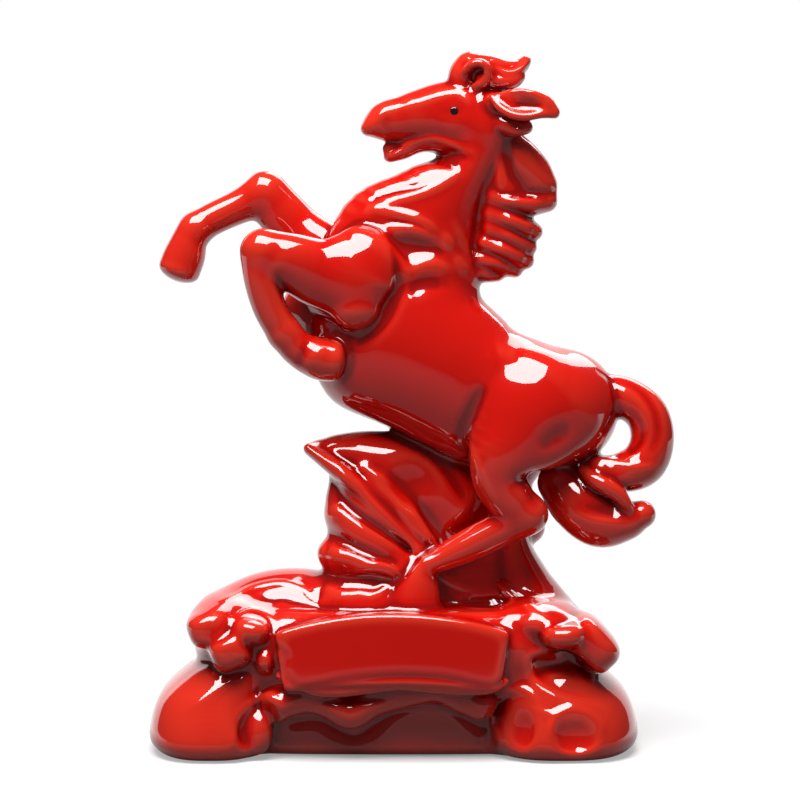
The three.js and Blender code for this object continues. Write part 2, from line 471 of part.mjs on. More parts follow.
// A rounded lump about a centre, with half sizes along X, Y and Z.
function lump(centre, half, grow = 0) {
  const ball = new THREE.SphereGeometry(1, LUMP_SIDES, LUMP_SIDES / 2 + 1);
  ball.scale(half.x + grow, half.y + grow, half.z + grow);
  ball.translate(centre.x, centre.y, centre.z);
  return toSolid(ball);
}

// Everything beyond a plane, on the side that along points to.
function beyond(point, along, offset = 0) {
  const block = new THREE.BoxGeometry(CUTTER_SIZE, CUTTER_SIZE, CUTTER_SIZE);
  block.translate(0, 0, CUTTER_SIZE / 2 + offset);
  block.applyQuaternion(new THREE.Quaternion().setFromUnitVectors(new THREE.Vector3(0, 0, 1), along));
  block.translate(point.x, point.y, point.z);
  return toSolid(block);
}

const DOWN = new THREE.Vector3(0, 0, -1);
const PLINTH_TOP = new THREE.Vector3(0, 0, 0);

// The half of a limb that stays on the torso, and the half that is its own casting.
const stump = (solid, { point, along }) => solid.subtract(beyond(point, along));
const luted = (solid, { point, along }) => (
  solid.subtract(beyond(point, along.clone().negate(), -SLIP_GAP))
);

// The horse's torso with the stumps that its limbs are luted to
function torsoSolid(grow = 0) {
  const roots = [
    limb(TRUNK, { grow, sides: TRUNK_SIDES }),
    stump(limb(NECK, { grow, sides: TRUNK_SIDES }), NECK_SEAM),
    stump(limb(NEAR_FOREARM, { grow, side: -1 }), NEAR_FORE_SEAM),
    stump(limb(FAR_FOREARM, { grow }), FAR_FORE_SEAM),
    stump(limb(NEAR_THIGH, { grow, side: -1 }), NEAR_HIND_SEAM),
    stump(limb(FAR_THIGH, { grow }), FAR_HIND_SEAM),
  ];
  return union(roots);
}

// A leg from its seam down to its hoof, cut off just above the plinth
function legSolid([upper, ...lower], legSeam, side, grow = 0) {
  const leg = [
    luted(limb(upper, { grow, side }), legSeam),
    ...lower.map((part) => limb(part, { grow, side })),
  ];
  return union(leg).subtract(beyond(PLINTH_TOP, DOWN, -SLIP_GAP + grow));
}

const NEAR_FORELEG = [NEAR_FOREARM, NEAR_FORE_CANNON, NEAR_FORE_HOOF];
const FAR_FORELEG = [FAR_FOREARM, FAR_FORE_CANNON, FAR_FORE_HOOF];
const NEAR_HIND_LEG = [NEAR_THIGH, NEAR_HIND_CANNON, NEAR_HIND_HOOF];
const FAR_HIND_LEG = [FAR_THIGH, FAR_HIND_CANNON, FAR_HIND_HOOF];

function headAndNeckSolid(grow = 0) {
  const neck = luted(limb(NECK, { grow, sides: TRUNK_SIDES }), NECK_SEAM);
  return union([neck, limb(SKULL, { grow, sides: TRUNK_SIDES }), limb(JAW, { grow })]);
}

// An ear laid back, with its cup pressed into the outer face
function earSolid(side, grow = 0) {
  const { centre, wide } = EAR[1];
  const cup = lump(
    new THREE.Vector3(centre.x + EAR_CUP_BACK, side * (centre.y + wide), centre.z - EAR_CUP_DROP),
    new THREE.Vector3(EAR_CUP_LENGTH / 2, EAR_CUP_DEPTH, EAR_CUP_HEIGHT / 2),
  );
  const flap = limb(EAR, { grow, side, sides: LOCK_SIDES });
  return flap.add(limb(EAR_LOBE, { grow, side, sides: LOCK_SIDES })).subtract(cup);
}

function forelockSolid(grow = 0) {
  return limb(FORELOCK, { grow, sides: LOCK_SIDES }).add(limb(UNDER_FORELOCK, { grow, sides: LOCK_SIDES }));
}

function maneSolid() {
  return union(MANE_LOCKS.map((lock) => limb(lock, { sides: LOCK_SIDES })));
}

function tailSolid() {
  return limb(TAIL_ARCH).add(limb(TAIL_TIP));
}

function rockSolid() {
  const pieces = [...ROCK_SLABS, ...ROCK_FOLDS, ROCK_COLUMN, ROCK_CORE, ROCK_SLOPE];
  const rock = union(pieces.map((piece) => limb(piece, { sides: ROCK_SIDES })));
  return rock.subtract(beyond(PLINTH_TOP, DOWN, -SLIP_GAP));
}

// One closed outline of the plinth at a height: a superellipse about a centre.
function outline(centre, halfLength, halfDepth, height) {
  const rounded = (value) => Math.sign(value) * Math.abs(value) ** (2 / PLINTH_SQUARENESS);
  return Array.from({ length: PLINTH_SIDES }, (_, step) => {
    const angle = (2 * Math.PI * step) / PLINTH_SIDES;
    return new THREE.Vector3(
      centre + halfLength * rounded(Math.cos(angle)),
      halfDepth * rounded(Math.sin(angle)),
      height,
    );
  });
}

// A mass of the plinth: tiers of length, depth, height and centre, joined by a smooth curve and
// drawn in by inset all round. The cavity's masses start below the sole, so that it is open there.
function mass(tiers, inset) {
  const top = tiers.at(-1)[2] - inset;
  const halves = tiers.map(([length, depth, height]) => (
    new THREE.Vector3(length / 2 - inset, depth / 2 - inset, Math.min(height, top))
  ));
  const profile = new THREE.CatmullRomCurve3(halves, false, "catmullrom");
  const middles = tiers.map(([, , , centre]) => new THREE.Vector3(centre, 0, 0));
  const centres = new THREE.CatmullRomCurve3(middles, false, "catmullrom");
  const count = (tiers.length - 1) * TIER_STEPS;
  const rings = Array.from({ length: count + 1 }, (_, step) => {
    const { x, y, z } = profile.getPoint(step / count);
    return outline(centres.getPoint(step / count).x, x, y, z);
  });
  if (inset > 0) {
    rings.unshift(rings[0].map((point) => point.clone().setZ(-inset)));
  }
  const bottom = middles[0].clone().setZ(rings[0][0].z);
  return skin(rings, bottom, middles.at(-1).clone().setZ(top));
}

const CORE_TIERS = [
  [CORE_SOLE_LENGTH, CORE_SOLE_DEPTH, 0, 0],
  [CORE_SOLE_LENGTH, CORE_SOLE_DEPTH, ARCH_HEIGHT, 0],
  [WAIST_LENGTH, WAIST_DEPTH, WAIST_HEIGHT, 0],
  [LEDGE_LENGTH, LEDGE_DEPTH, LEDGE_HEIGHT, 0],
  [TOP_LENGTH, TOP_DEPTH, PLINTH_HEIGHT, 0],
];
// The tiers of a foot, which leans in towards the middle of the plinth. side is -1 for the foot
// under the left end and 1 for the one under the right end.
const footTiers = (side, length) => {
  const tier = (inset, slope, height, lean) => (
    [length - inset, FOOT_DEPTH - slope, height, side * ((FOOT_SPAN - length) / 2 - lean)]
  );
  return [
    tier(2 * FOOT_ROLL_INSET, 2 * FOOT_ROLL_INSET, 0, 0),
    tier(0, 0, FOOT_ROLL_HEIGHT, 0),
    tier(FOOT_KNEE_INSET, FOOT_KNEE_SLOPE, FOOT_KNEE_HEIGHT, FOOT_KNEE_LEAN),
    tier(FOOT_TOP_INSET, FOOT_TOP_SLOPE, FOOT_TOP_HEIGHT, FOOT_TOP_LEAN),
  ];
};

const plinthMass = (inset) => union([
  mass(CORE_TIERS, inset),
  mass(footTiers(-1, LEFT_FOOT_LENGTH), inset),
  mass(footTiers(1, RIGHT_FOOT_LENGTH), inset),
]);

// A point of the plinth, in shares of its length, depth and height
const spot = (x, y, z) => new THREE.Vector3(x * FOOT_SPAN, y * FOOT_DEPTH, z * PLINTH_HEIGHT);

// Boulders on the plinth's shoulders, by centre and half sizes in the same shares: the low hill at
// the left, then the knobs at the left end, and those at the right end
const BOULDERS = [
  [-0.195, 0.07, 0.92, 0.185, 0.27, 0.33],
  [-0.3, -0.2, 0.9, 0.097, 0.22, 0.21],
  [-0.38, -0.27, 0.83, 0.045, 0.165, 0.107],
  [-0.337, -0.345, 0.68, 0.043, 0.122, 0.111],
  [-0.296, -0.367, 0.86, 0.032, 0.1, 0.066],
  [-0.262, -0.367, 0.64, 0.017, 0.067, 0.082],
  [0.352, -0.333, 0.81, 0.049, 0.144, 0.095],
  [0.413, -0.244, 0.656, 0.059, 0.178, 0.148],
  [0.383, -0.222, 0.836, 0.058, 0.2, 0.131],
  [0.32, -0.155, 0.934, 0.097, 0.244, 0.148],
  [0.31, 0.155, 0.934, 0.117, 0.2, 0.164],
];
const boulder = ([x, y, z, halfX, halfY, halfZ], grow) => (
  lump(spot(x, y, z), spot(halfX, halfY, halfZ), grow)
);

// The folds that hang between the feet, under the plaque: their line from left to right
const FOLD_LINE = [
  spot(-0.233, -0.344, 0.385),
  spot(-0.175, -0.356, 0.433),
  spot(-0.131, -0.361, 0.402),
  spot(-0.085, -0.361, 0.328),
  spot(-0.041, -0.361, 0.41),
  spot(0.019, -0.356, 0.467),
  spot(0.087, -0.356, 0.508),
  spot(0.136, -0.35, 0.434),
  spot(0.17, -0.344, 0.385),
];
const folds = (grow) => (
  limb(
    FOLD_LINE.map((centre) => ({ centre, deep: FOLD_DEPTH / 2, wide: FOLD_THICKNESS / 2 })),
    { grow, sides: ROCK_SIDES },
  )
);

// Scoops in the fronts of the feet and a pocket under the right end's knobs: centre and half length
// in shares of the plinth's length, depth and height
const SCOOPS = [
  [-0.279, -0.48, 0.28, 0.044, 0.18],
  [0.243, -0.48, 0.25, 0.042, 0.18],
  [0.374, -0.49, 0.18, 0.051, 0.13],
  [0.32, -0.44, 0.62, 0.044, 0.085],
];
const scoop = ([x, y, z, halfX, halfZ], grow = 0) => (
  lump(spot(x, y, z), spot(halfX, SCOOP_DEPTH / FOOT_DEPTH, halfZ), grow)
);

const plinthOutside = (grow = 0) => (
  union([plinthMass(-grow), ...BOULDERS.map((sizes) => boulder(sizes, grow)), folds(grow)])
);

function plinthSolid() {
  const cavity = plinthMass(PLINTH_WALL).subtract(union(SCOOPS.map((sizes) => scoop(sizes, PLINTH_WALL))));
  return plinthOutside().subtract(union(SCOOPS.map((sizes) => scoop(sizes)))).subtract(cavity);
}

// The blank plaque: a leaning slab with an arched top edge, thick enough to reach the plinth's
// waist, whose form its back is cut to
function plaqueSolid() {
  const half = PLAQUE_LENGTH / 2;
  const shoulder = PLAQUE_HEIGHT - PLAQUE_ARCH;
  const thickness = PLAQUE_PROUD + (LEDGE_DEPTH - WAIST_DEPTH) / 2 + PLINTH_WALL;
  const shape = new THREE.Shape();
  shape.moveTo(-half + PLAQUE_TAPER, 0);
  shape.quadraticCurveTo(0, PLAQUE_SILL_ARCH, half - PLAQUE_TAPER, 0);
  shape.lineTo(half, shoulder);
  shape.quadraticCurveTo(0, PLAQUE_HEIGHT + PLAQUE_ARCH, -half, shoulder);
  shape.closePath();
  const slab = new THREE.ExtrudeGeometry(shape, {
    depth: thickness,
    bevelSize: PLAQUE_EDGE,
    bevelThickness: PLAQUE_EDGE,
    bevelSegments: 2,
    curveSegments: PLAQUE_SIDES,
  });
  slab.rotateX(Math.PI / 2 - THREE.MathUtils.degToRad(PLAQUE_TILT));
  slab.translate(PLAQUE_CENTRE, thickness - LEDGE_DEPTH / 2 - PLAQUE_PROUD, PLAQUE_SILL);
  return toSolid(slab);
}

// The eye: a dot of black enamel on the widest part of the skull
function eyeSolid(side) {
  const { centre, wide } = SKULL[1];
  const radius = EYE_DIAMETER / 2;
  const seat = new THREE.Vector3(centre.x - EYE_FORWARD, side * (wide - EYE_BED), centre.z + EYE_RISE);
  return lump(seat, new THREE.Vector3(radius, EYE_THICKNESS / 2, radius));
}

// The glazes
const RED_GLAZE = { color: 0xc81410, roughness: 0.12, metalness: 0 };
const BLACK_ENAMEL = { color: 0x0a0808, roughness: 0.15, metalness: 0 };

function casting(name, solid, glaze) {
  const { numProp, vertProperties, triVerts } = solid.getMesh();
  const geometry = new THREE.BufferGeometry();
  geometry.setAttribute("position", new THREE.BufferAttribute(new Float32Array(vertProperties), numProp));
  geometry.setIndex(new THREE.BufferAttribute(new Uint32Array(triVerts), 1));
  geometry.computeVertexNormals();
  const mesh = new THREE.Mesh(geometry, new THREE.MeshStandardMaterial(glaze));
  mesh.name = name;
  return mesh;
}

// The castings of the horse, each cut clear of those that it is luted to
const legs = {
  near_foreleg: legSolid(NEAR_FORELEG, NEAR_FORE_SEAM, -1).subtract(torsoSolid(SLIP_GAP)),
  far_foreleg: legSolid(FAR_FORELEG, FAR_FORE_SEAM, 1).subtract(torsoSolid(SLIP_GAP)),
  near_hind_leg: legSolid(NEAR_HIND_LEG, NEAR_HIND_SEAM, -1).subtract(torsoSolid(SLIP_GAP)),
  far_hind_leg: legSolid(FAR_HIND_LEG, FAR_HIND_SEAM, 1).subtract(torsoSolid(SLIP_GAP)),
};
const hindLegs = union([
  legSolid(NEAR_HIND_LEG, NEAR_HIND_SEAM, -1, SLIP_GAP),
  legSolid(FAR_HIND_LEG, FAR_HIND_SEAM, 1, SLIP_GAP),
]);
const head = headAndNeckSolid(SLIP_GAP);
const ears = union([earSolid(-1, SLIP_GAP), earSolid(1, SLIP_GAP)]);
const torso = torsoSolid(SLIP_GAP);
const plinthTop = plinthOutside(SLIP_GAP).translate([0, 0, -PLINTH_HEIGHT]);

const horse = new THREE.Group();
horse.position.z = PLINTH_HEIGHT;
horse.add(casting("torso", torsoSolid(), RED_GLAZE));
horse.add(casting("head_and_neck", headAndNeckSolid().subtract(torso), RED_GLAZE));
for (const [name, solid] of Object.entries(legs)) {
  horse.add(casting(name, solid, RED_GLAZE));
}
horse.add(casting("ear_near", earSolid(-1).subtract(head), RED_GLAZE));
horse.add(casting("ear_far", earSolid(1).subtract(head), RED_GLAZE));
horse.add(casting("forelock", forelockSolid().subtract(head).subtract(ears), RED_GLAZE));
horse.add(casting(
  "mane",
  maneSolid().subtract(union([head, torso, ears, forelockSolid(SLIP_GAP)])),
  RED_GLAZE,
));
horse.add(casting("tail", tailSolid().subtract(union([torso, hindLegs])), RED_GLAZE));
horse.add(casting("rock_outcrop", rockSolid().subtract(union([torso, hindLegs, plinthTop])), RED_GLAZE));
horse.add(casting("eye_near", eyeSolid(-1).subtract(head), BLACK_ENAMEL));
horse.add(casting("eye_far", eyeSolid(1).subtract(head), BLACK_ENAMEL));

const figurine = new THREE.Group();
figurine.add(casting("plinth", plinthSolid(), RED_GLAZE));
figurine.add(casting("plaque_panel", plaqueSolid().subtract(plinthOutside(SLIP_GAP)), RED_GLAZE));
figurine.add(horse);

// The origin is the middle of the figurine's box, on the surface that it stands on.
figurine.updateMatrixWorld(true);
const box = new THREE.Box3().setFromObject(figurine, true);
const middle = box.getCenter(new THREE.Vector3());
figurine.position.set(-middle.x, -middle.y, -box.min.z);

export default figurine;
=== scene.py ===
"""A red glazed ceramic horse that rears over a rock, on a rocky plinth with a blank plaque.

The whole figurine is modelled as one lump of clay: a field of distances, in millimetres, which
rolls, balls and slabs are pressed onto, softened as a coat of glaze softens it. Its skin is
then parted along the luting seams into one closed casting for each piece of the figurine.
Millimetres run from the middle of the plinth, with heights above the plinth's top.
"""
import itertools
import math
from concurrent.futures import ThreadPoolExecutor

import bpy
import numpy as np
from bpy.props import FloatProperty, FloatVectorProperty, PointerProperty
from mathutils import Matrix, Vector


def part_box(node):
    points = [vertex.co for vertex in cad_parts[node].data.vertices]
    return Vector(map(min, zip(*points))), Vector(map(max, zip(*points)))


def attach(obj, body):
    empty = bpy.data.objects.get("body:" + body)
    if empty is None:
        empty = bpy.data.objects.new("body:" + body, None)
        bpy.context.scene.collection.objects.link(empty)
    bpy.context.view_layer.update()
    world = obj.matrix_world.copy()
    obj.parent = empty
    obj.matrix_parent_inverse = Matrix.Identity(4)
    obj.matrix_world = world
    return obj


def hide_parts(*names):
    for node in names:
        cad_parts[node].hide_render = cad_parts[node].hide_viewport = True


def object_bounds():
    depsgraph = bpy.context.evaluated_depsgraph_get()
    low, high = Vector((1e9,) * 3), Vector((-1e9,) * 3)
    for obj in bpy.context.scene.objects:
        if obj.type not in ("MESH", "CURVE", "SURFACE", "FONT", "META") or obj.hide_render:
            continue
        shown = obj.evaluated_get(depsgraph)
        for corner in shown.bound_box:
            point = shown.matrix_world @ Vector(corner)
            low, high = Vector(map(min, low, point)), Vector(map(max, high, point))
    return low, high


bl_info = {
    "name": "Glazed Rearing Horse",
    "version": (1, 0, 0),
    "blender": (4, 5, 0),
    "location": "3D View > Sidebar > Horse",
    "description": "Builds a glazed ceramic horse casting by casting, and a plain studio for it",
    "category": "Add Mesh",
}

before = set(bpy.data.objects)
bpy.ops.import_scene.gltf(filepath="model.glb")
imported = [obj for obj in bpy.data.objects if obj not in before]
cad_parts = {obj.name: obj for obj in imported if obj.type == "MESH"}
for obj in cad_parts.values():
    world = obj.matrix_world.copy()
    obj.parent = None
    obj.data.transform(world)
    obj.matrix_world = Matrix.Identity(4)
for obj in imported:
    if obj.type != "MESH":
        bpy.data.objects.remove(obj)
cad_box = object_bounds()

MM = 0.001
PLINTH_TOP = 61.0
FLOOR = -PLINTH_TOP
BODY = "root"
EMPTY = 50.0
LEAST_GIRTH = 0.4
LEAST_SLOPE = 1e-4
LEAST_PART = 1e-4
LEAST_SQUARE = 1e-3
TINY = 1e-6

# Threads that measure the clay together, and the grid columns that each takes at a time
CREW = 4
BATCH = 8


def plinth_middle():
    """The middle of the plinth in the frame, in millimetres."""
    low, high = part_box("plinth")
    return np.array([(low.x + high.x) / 2, (low.y + high.y) / 2, 0]) / MM


def to_metres(points):
    """Millimetres of the clay as metres of the frame."""
    return (points + plinth_middle() + (0, 0, PLINTH_TOP)) * MM


# Forms of clay

def unit(vector):
    """The vector at a length of one."""
    vector = np.asarray(vector, float)
    return vector / np.linalg.norm(vector)


def smooth_line(points, steps):
    """A Catmull-Rom line through points, with that many steps between two of them."""
    points = np.asarray(points, float)
    padded = np.vstack([2 * points[0] - points[1], points, 2 * points[-1] - points[-2]])
    share = np.linspace(0, 1, steps, endpoint=False)[:, None]
    line = []
    for before, start, end, after in zip(padded, padded[1:], padded[2:], padded[3:]):
        line.append(0.5 * (
            2 * start + (end - before) * share
            + (2 * before - 5 * start + 4 * end - after) * share ** 2
            + (3 * start - before - 3 * end + after) * share ** 3
        ))
    return np.vstack(line + [points[-1:]])


def nearest_on_line(points, line):
    """For each point, the leg of the line nearest to it, the share along that leg and the gap."""
    gap = np.full(len(points), np.inf, np.float32)
    leg = np.zeros(len(points), np.int32)
    share = np.zeros(len(points), np.float32)
    for index, (start, end) in enumerate(zip(line, line[1:])):
        way = (end - start).astype(np.float32)
        off = points - start.astype(np.float32)
        along = np.clip(off @ way / max(float(way @ way), TINY), 0, 1)
        off -= along[:, None] * way
        square = np.einsum("ij,ij->i", off, off)
        nearer = square < gap
        gap[nearer] = square[nearer]
        leg[nearer] = index
        share[nearer] = along[nearer]
    return leg, share, np.sqrt(gap)


def ellipsoid_distance(x, y, z, half_x, half_y, half_z):
    """About how far a point lies outside an ellipsoid, by its scaled radius and its slope."""
    scaled = np.sqrt((x / half_x) ** 2 + (y / half_y) ** 2 + (z / half_z) ** 2)
    slope = np.sqrt((x / half_x ** 2) ** 2 + (y / half_y ** 2) ** 2 + (z / half_z ** 2) ** 2)
    return scaled * (scaled - 1) / np.maximum(slope, LEAST_SLOPE)


def edged_distance(x, y, z, half_x, half_y, half_z, power):
    """The same by a power of the shares: 1 gives a rhombus, 2 an ellipsoid, more a block."""
    ways = ((x, half_x), (y, half_y), (z, half_z))
    shares = [np.abs(part) / half + LEAST_PART for part, half in ways]
    scaled = sum(share ** power for share in shares) ** (1 / power)
    slope = np.sqrt(sum(
        ((share / scaled) ** (power - 1) / half) ** 2
        for share, half in zip(shares, (half_x, half_y, half_z))
    ))
    return (scaled - 1) / np.maximum(slope, LEAST_SLOPE)


class Roll:
    """A roll of clay along a smooth line of stations (x, y, z, half depth, half width). Half
    widths run from side to side, half depths square to them. side is -1 for the near side."""

    def __init__(self, stations, side=1, caps=(None, None), steps=5, across=(0, 1, 0), edge=None):
        self.edge = edge
        line = smooth_line(stations, steps)
        self.centres = line[:, :3] * (1, side, 1)
        self.depths, self.widths = np.maximum(line[:, 3:5], LEAST_GIRTH).T
        along = np.gradient(self.centres, axis=0)
        self.along = along / np.linalg.norm(along, axis=1)[:, None]
        width_way = np.asarray(across, float) * (1, side, 1)
        width_way = width_way - self.along * (self.along @ width_way)[:, None]
        self.width_way = width_way / np.linalg.norm(width_way, axis=1)[:, None]
        self.depth_way = np.cross(self.width_way, self.along)
        ends = (0, -1)
        girths = [min(self.depths[end], self.widths[end]) for end in ends]
        self.caps = [girth if cap is None else cap for girth, cap in zip(girths, caps)]
        reach = np.maximum(self.depths, self.widths)[:, None]
        tips = [self.centres[end] + sign * self.along[end] * cap
                for end, sign, cap in zip(ends, (-1, 1), self.caps)]
        self.low = np.vstack([self.centres - reach, tips]).min(0)
        self.high = np.vstack([self.centres + reach, tips]).max(0)

    def distance(self, points):
        leg, share, _ = nearest_on_line(points, self.centres)

        def between(rows):
            rows = rows.astype(np.float32)
            mix = share if rows.ndim == 1 else share[:, None]
            return rows[leg] * (1 - mix) + rows[leg + 1] * mix

        off = points - between(self.centres)
        depth = np.einsum("ij,ij->i", off, between(self.depth_way))
        width = np.einsum("ij,ij->i", off, between(self.width_way))
        ahead = np.einsum("ij,ij->i", off, between(self.along))
        cap = np.where(ahead < 0, self.caps[0], self.caps[1])
        halves = between(self.depths), between(self.widths), cap
        if self.edge:
            return edged_distance(depth, width, ahead, *halves, self.edge)
        return ellipsoid_distance(depth, width, ahead, *halves)


class Ball:
    """An ellipsoid of clay, turned about Y by degrees (X towards Z). A power above 2 makes it
    more like a block with rounded edges."""

    def __init__(self, centre, halves, turn=0, power=2):
        self.centre = np.asarray(centre, np.float32)
        self.halves = halves
        self.power = power
        turn = math.radians(turn)
        self.ways = np.array([
            [math.cos(turn), 0, math.sin(turn)],
            [0, 1, 0],
            [-math.sin(turn), 0, math.cos(turn)],
        ], np.float32)
        reach = np.abs(self.ways * np.asarray(halves)[:, None]).sum(0)
        self.low = self.centre - reach
        self.high = self.centre + reach

    def distance(self, points):
        x, y, z = ((points - self.centre) @ self.ways.T).T
        if self.power != 2:
            return edged_distance(x, y, z, *self.halves, self.power)
        return ellipsoid_distance(x, y, z, *self.halves)


class Stack:
    """A mass of the plinth: a superellipse at each height, by tiers of length, depth, height
    above the floor and centre along X. An inset draws it in all round and takes it through the
    floor, as a hollow needs."""

    squareness = 2.6
    lid_round = 5.0
    overcut = 20.0

    def __init__(self, tiers, inset=0.0):
        self.tiers = smooth_line(tiers, 8)
        self.inset = inset
        self.bottom = FLOOR - (self.overcut if inset else 0)
        self.top = FLOOR + self.tiers[-1, 2] - inset
        half_x, centre = self.tiers[:, 0] / 2, self.tiers[:, 3]
        half_y = self.tiers[:, 1].max() / 2
        self.low = np.array([(centre - half_x).min(), -half_y, self.bottom])
        self.high = np.array([(centre + half_x).max(), half_y, self.top])

    def distance(self, points):
        x, y, z = points.T
        heights = self.tiers[:, 2] + FLOOR
        half_x, half_y, centre = (
            np.interp(z, heights, column)
            for column in (self.tiers[:, 0] / 2, self.tiers[:, 1] / 2, self.tiers[:, 3])
        )
        half_x = half_x - self.inset
        half_y = half_y - self.inset
        scaled_x = np.abs(x - centre) / half_x
        scaled_y = np.abs(y) / half_y
        power = self.squareness
        radius = (scaled_x ** power + scaled_y ** power) ** (1 / power) + TINY
        slope = np.hypot(
            (scaled_x / radius) ** (power - 1) / half_x,
            (scaled_y / radius) ** (power - 1) / half_y,
        )
        wall = (radius - 1) / np.maximum(slope, LEAST_SLOPE)
        lid = np.maximum(z - self.top, self.bottom - z)
        return soft_most(wall, lid, self.lid_round).astype(np.float32)


class Panel:
    """A leaning slab with an arched top and bottom edge and a face bowed along its length."""

    edge_round = 2.0
    end_round = 3.0
    face_round = 2.5
    margins = (2, 6, 3)

    def __init__(self, centre, length, height, thickness, tilt, arch, sill_arch, bow, taper):
        self.centre = np.asarray(centre, float)
        self.sizes = (length / 2, height / 2, thickness / 2)
        self.tilt = math.radians(tilt)
        self.arch, self.sill_arch, self.bow, self.taper = arch, sill_arch, bow, taper
        reach = np.array([length / 2, thickness / 2 + bow, height / 2 + arch]) + self.margins
        self.low = self.centre - reach
        self.high = self.centre + reach

    def distance(self, points):
        half_length, half_height, half_thick = self.sizes
        x, y, z = (points - self.centre.astype(np.float32)).T
        up = z * math.cos(self.tilt) + y * math.sin(self.tilt)
        out = y * math.cos(self.tilt) - z * math.sin(self.tilt)
        curve = (x / half_length) ** 2
        top = up - half_height - self.arch * (1 - curve)
        bottom = -up - half_height + self.sill_arch * (1 - curve)
        ends = np.abs(x) - half_length + self.taper * (half_height - up) / (2 * half_height)
        face = np.abs(out + self.bow * (1 - curve)) - half_thick
        rim = soft_most(soft_most(top, bottom, self.edge_round), ends, self.end_round)
        return soft_most(rim, face, self.face_round).astype(np.float32)


class Shelf:
    """Everything beyond a plane, on the side that its way points to."""

    def __init__(self, point, way):
        self.point = np.asarray(point, float)
        self.way = unit(way)

    def distance(self, points):
        return -((points - self.point) @ self.way)


def soft_least(first, second, blend):
    """The lesser of two distances, with a fillet about as wide as blend."""
    if blend <= 0:
        return np.minimum(first, second)
    share = np.clip(0.5 + 0.5 * (second - first) / blend, 0, 1)
    return second + (first - second) * share - blend * share * (1 - share)


def soft_most(first, second, blend):
    """The greater of two distances, with an edge rounded about as wide as blend."""
    return -soft_least(-first, -second, blend)


# The sides of the figurine, by the sign of y
NEAR, FAR = -1, 1

# A stroke's y stays within this reach of its usual y and is evened out over this many points.
# It starts and ends at this angle of the sine that fades it.
STROKE_REACH = 6
STROKE_EVENING = 5
STROKE_START = 0.12


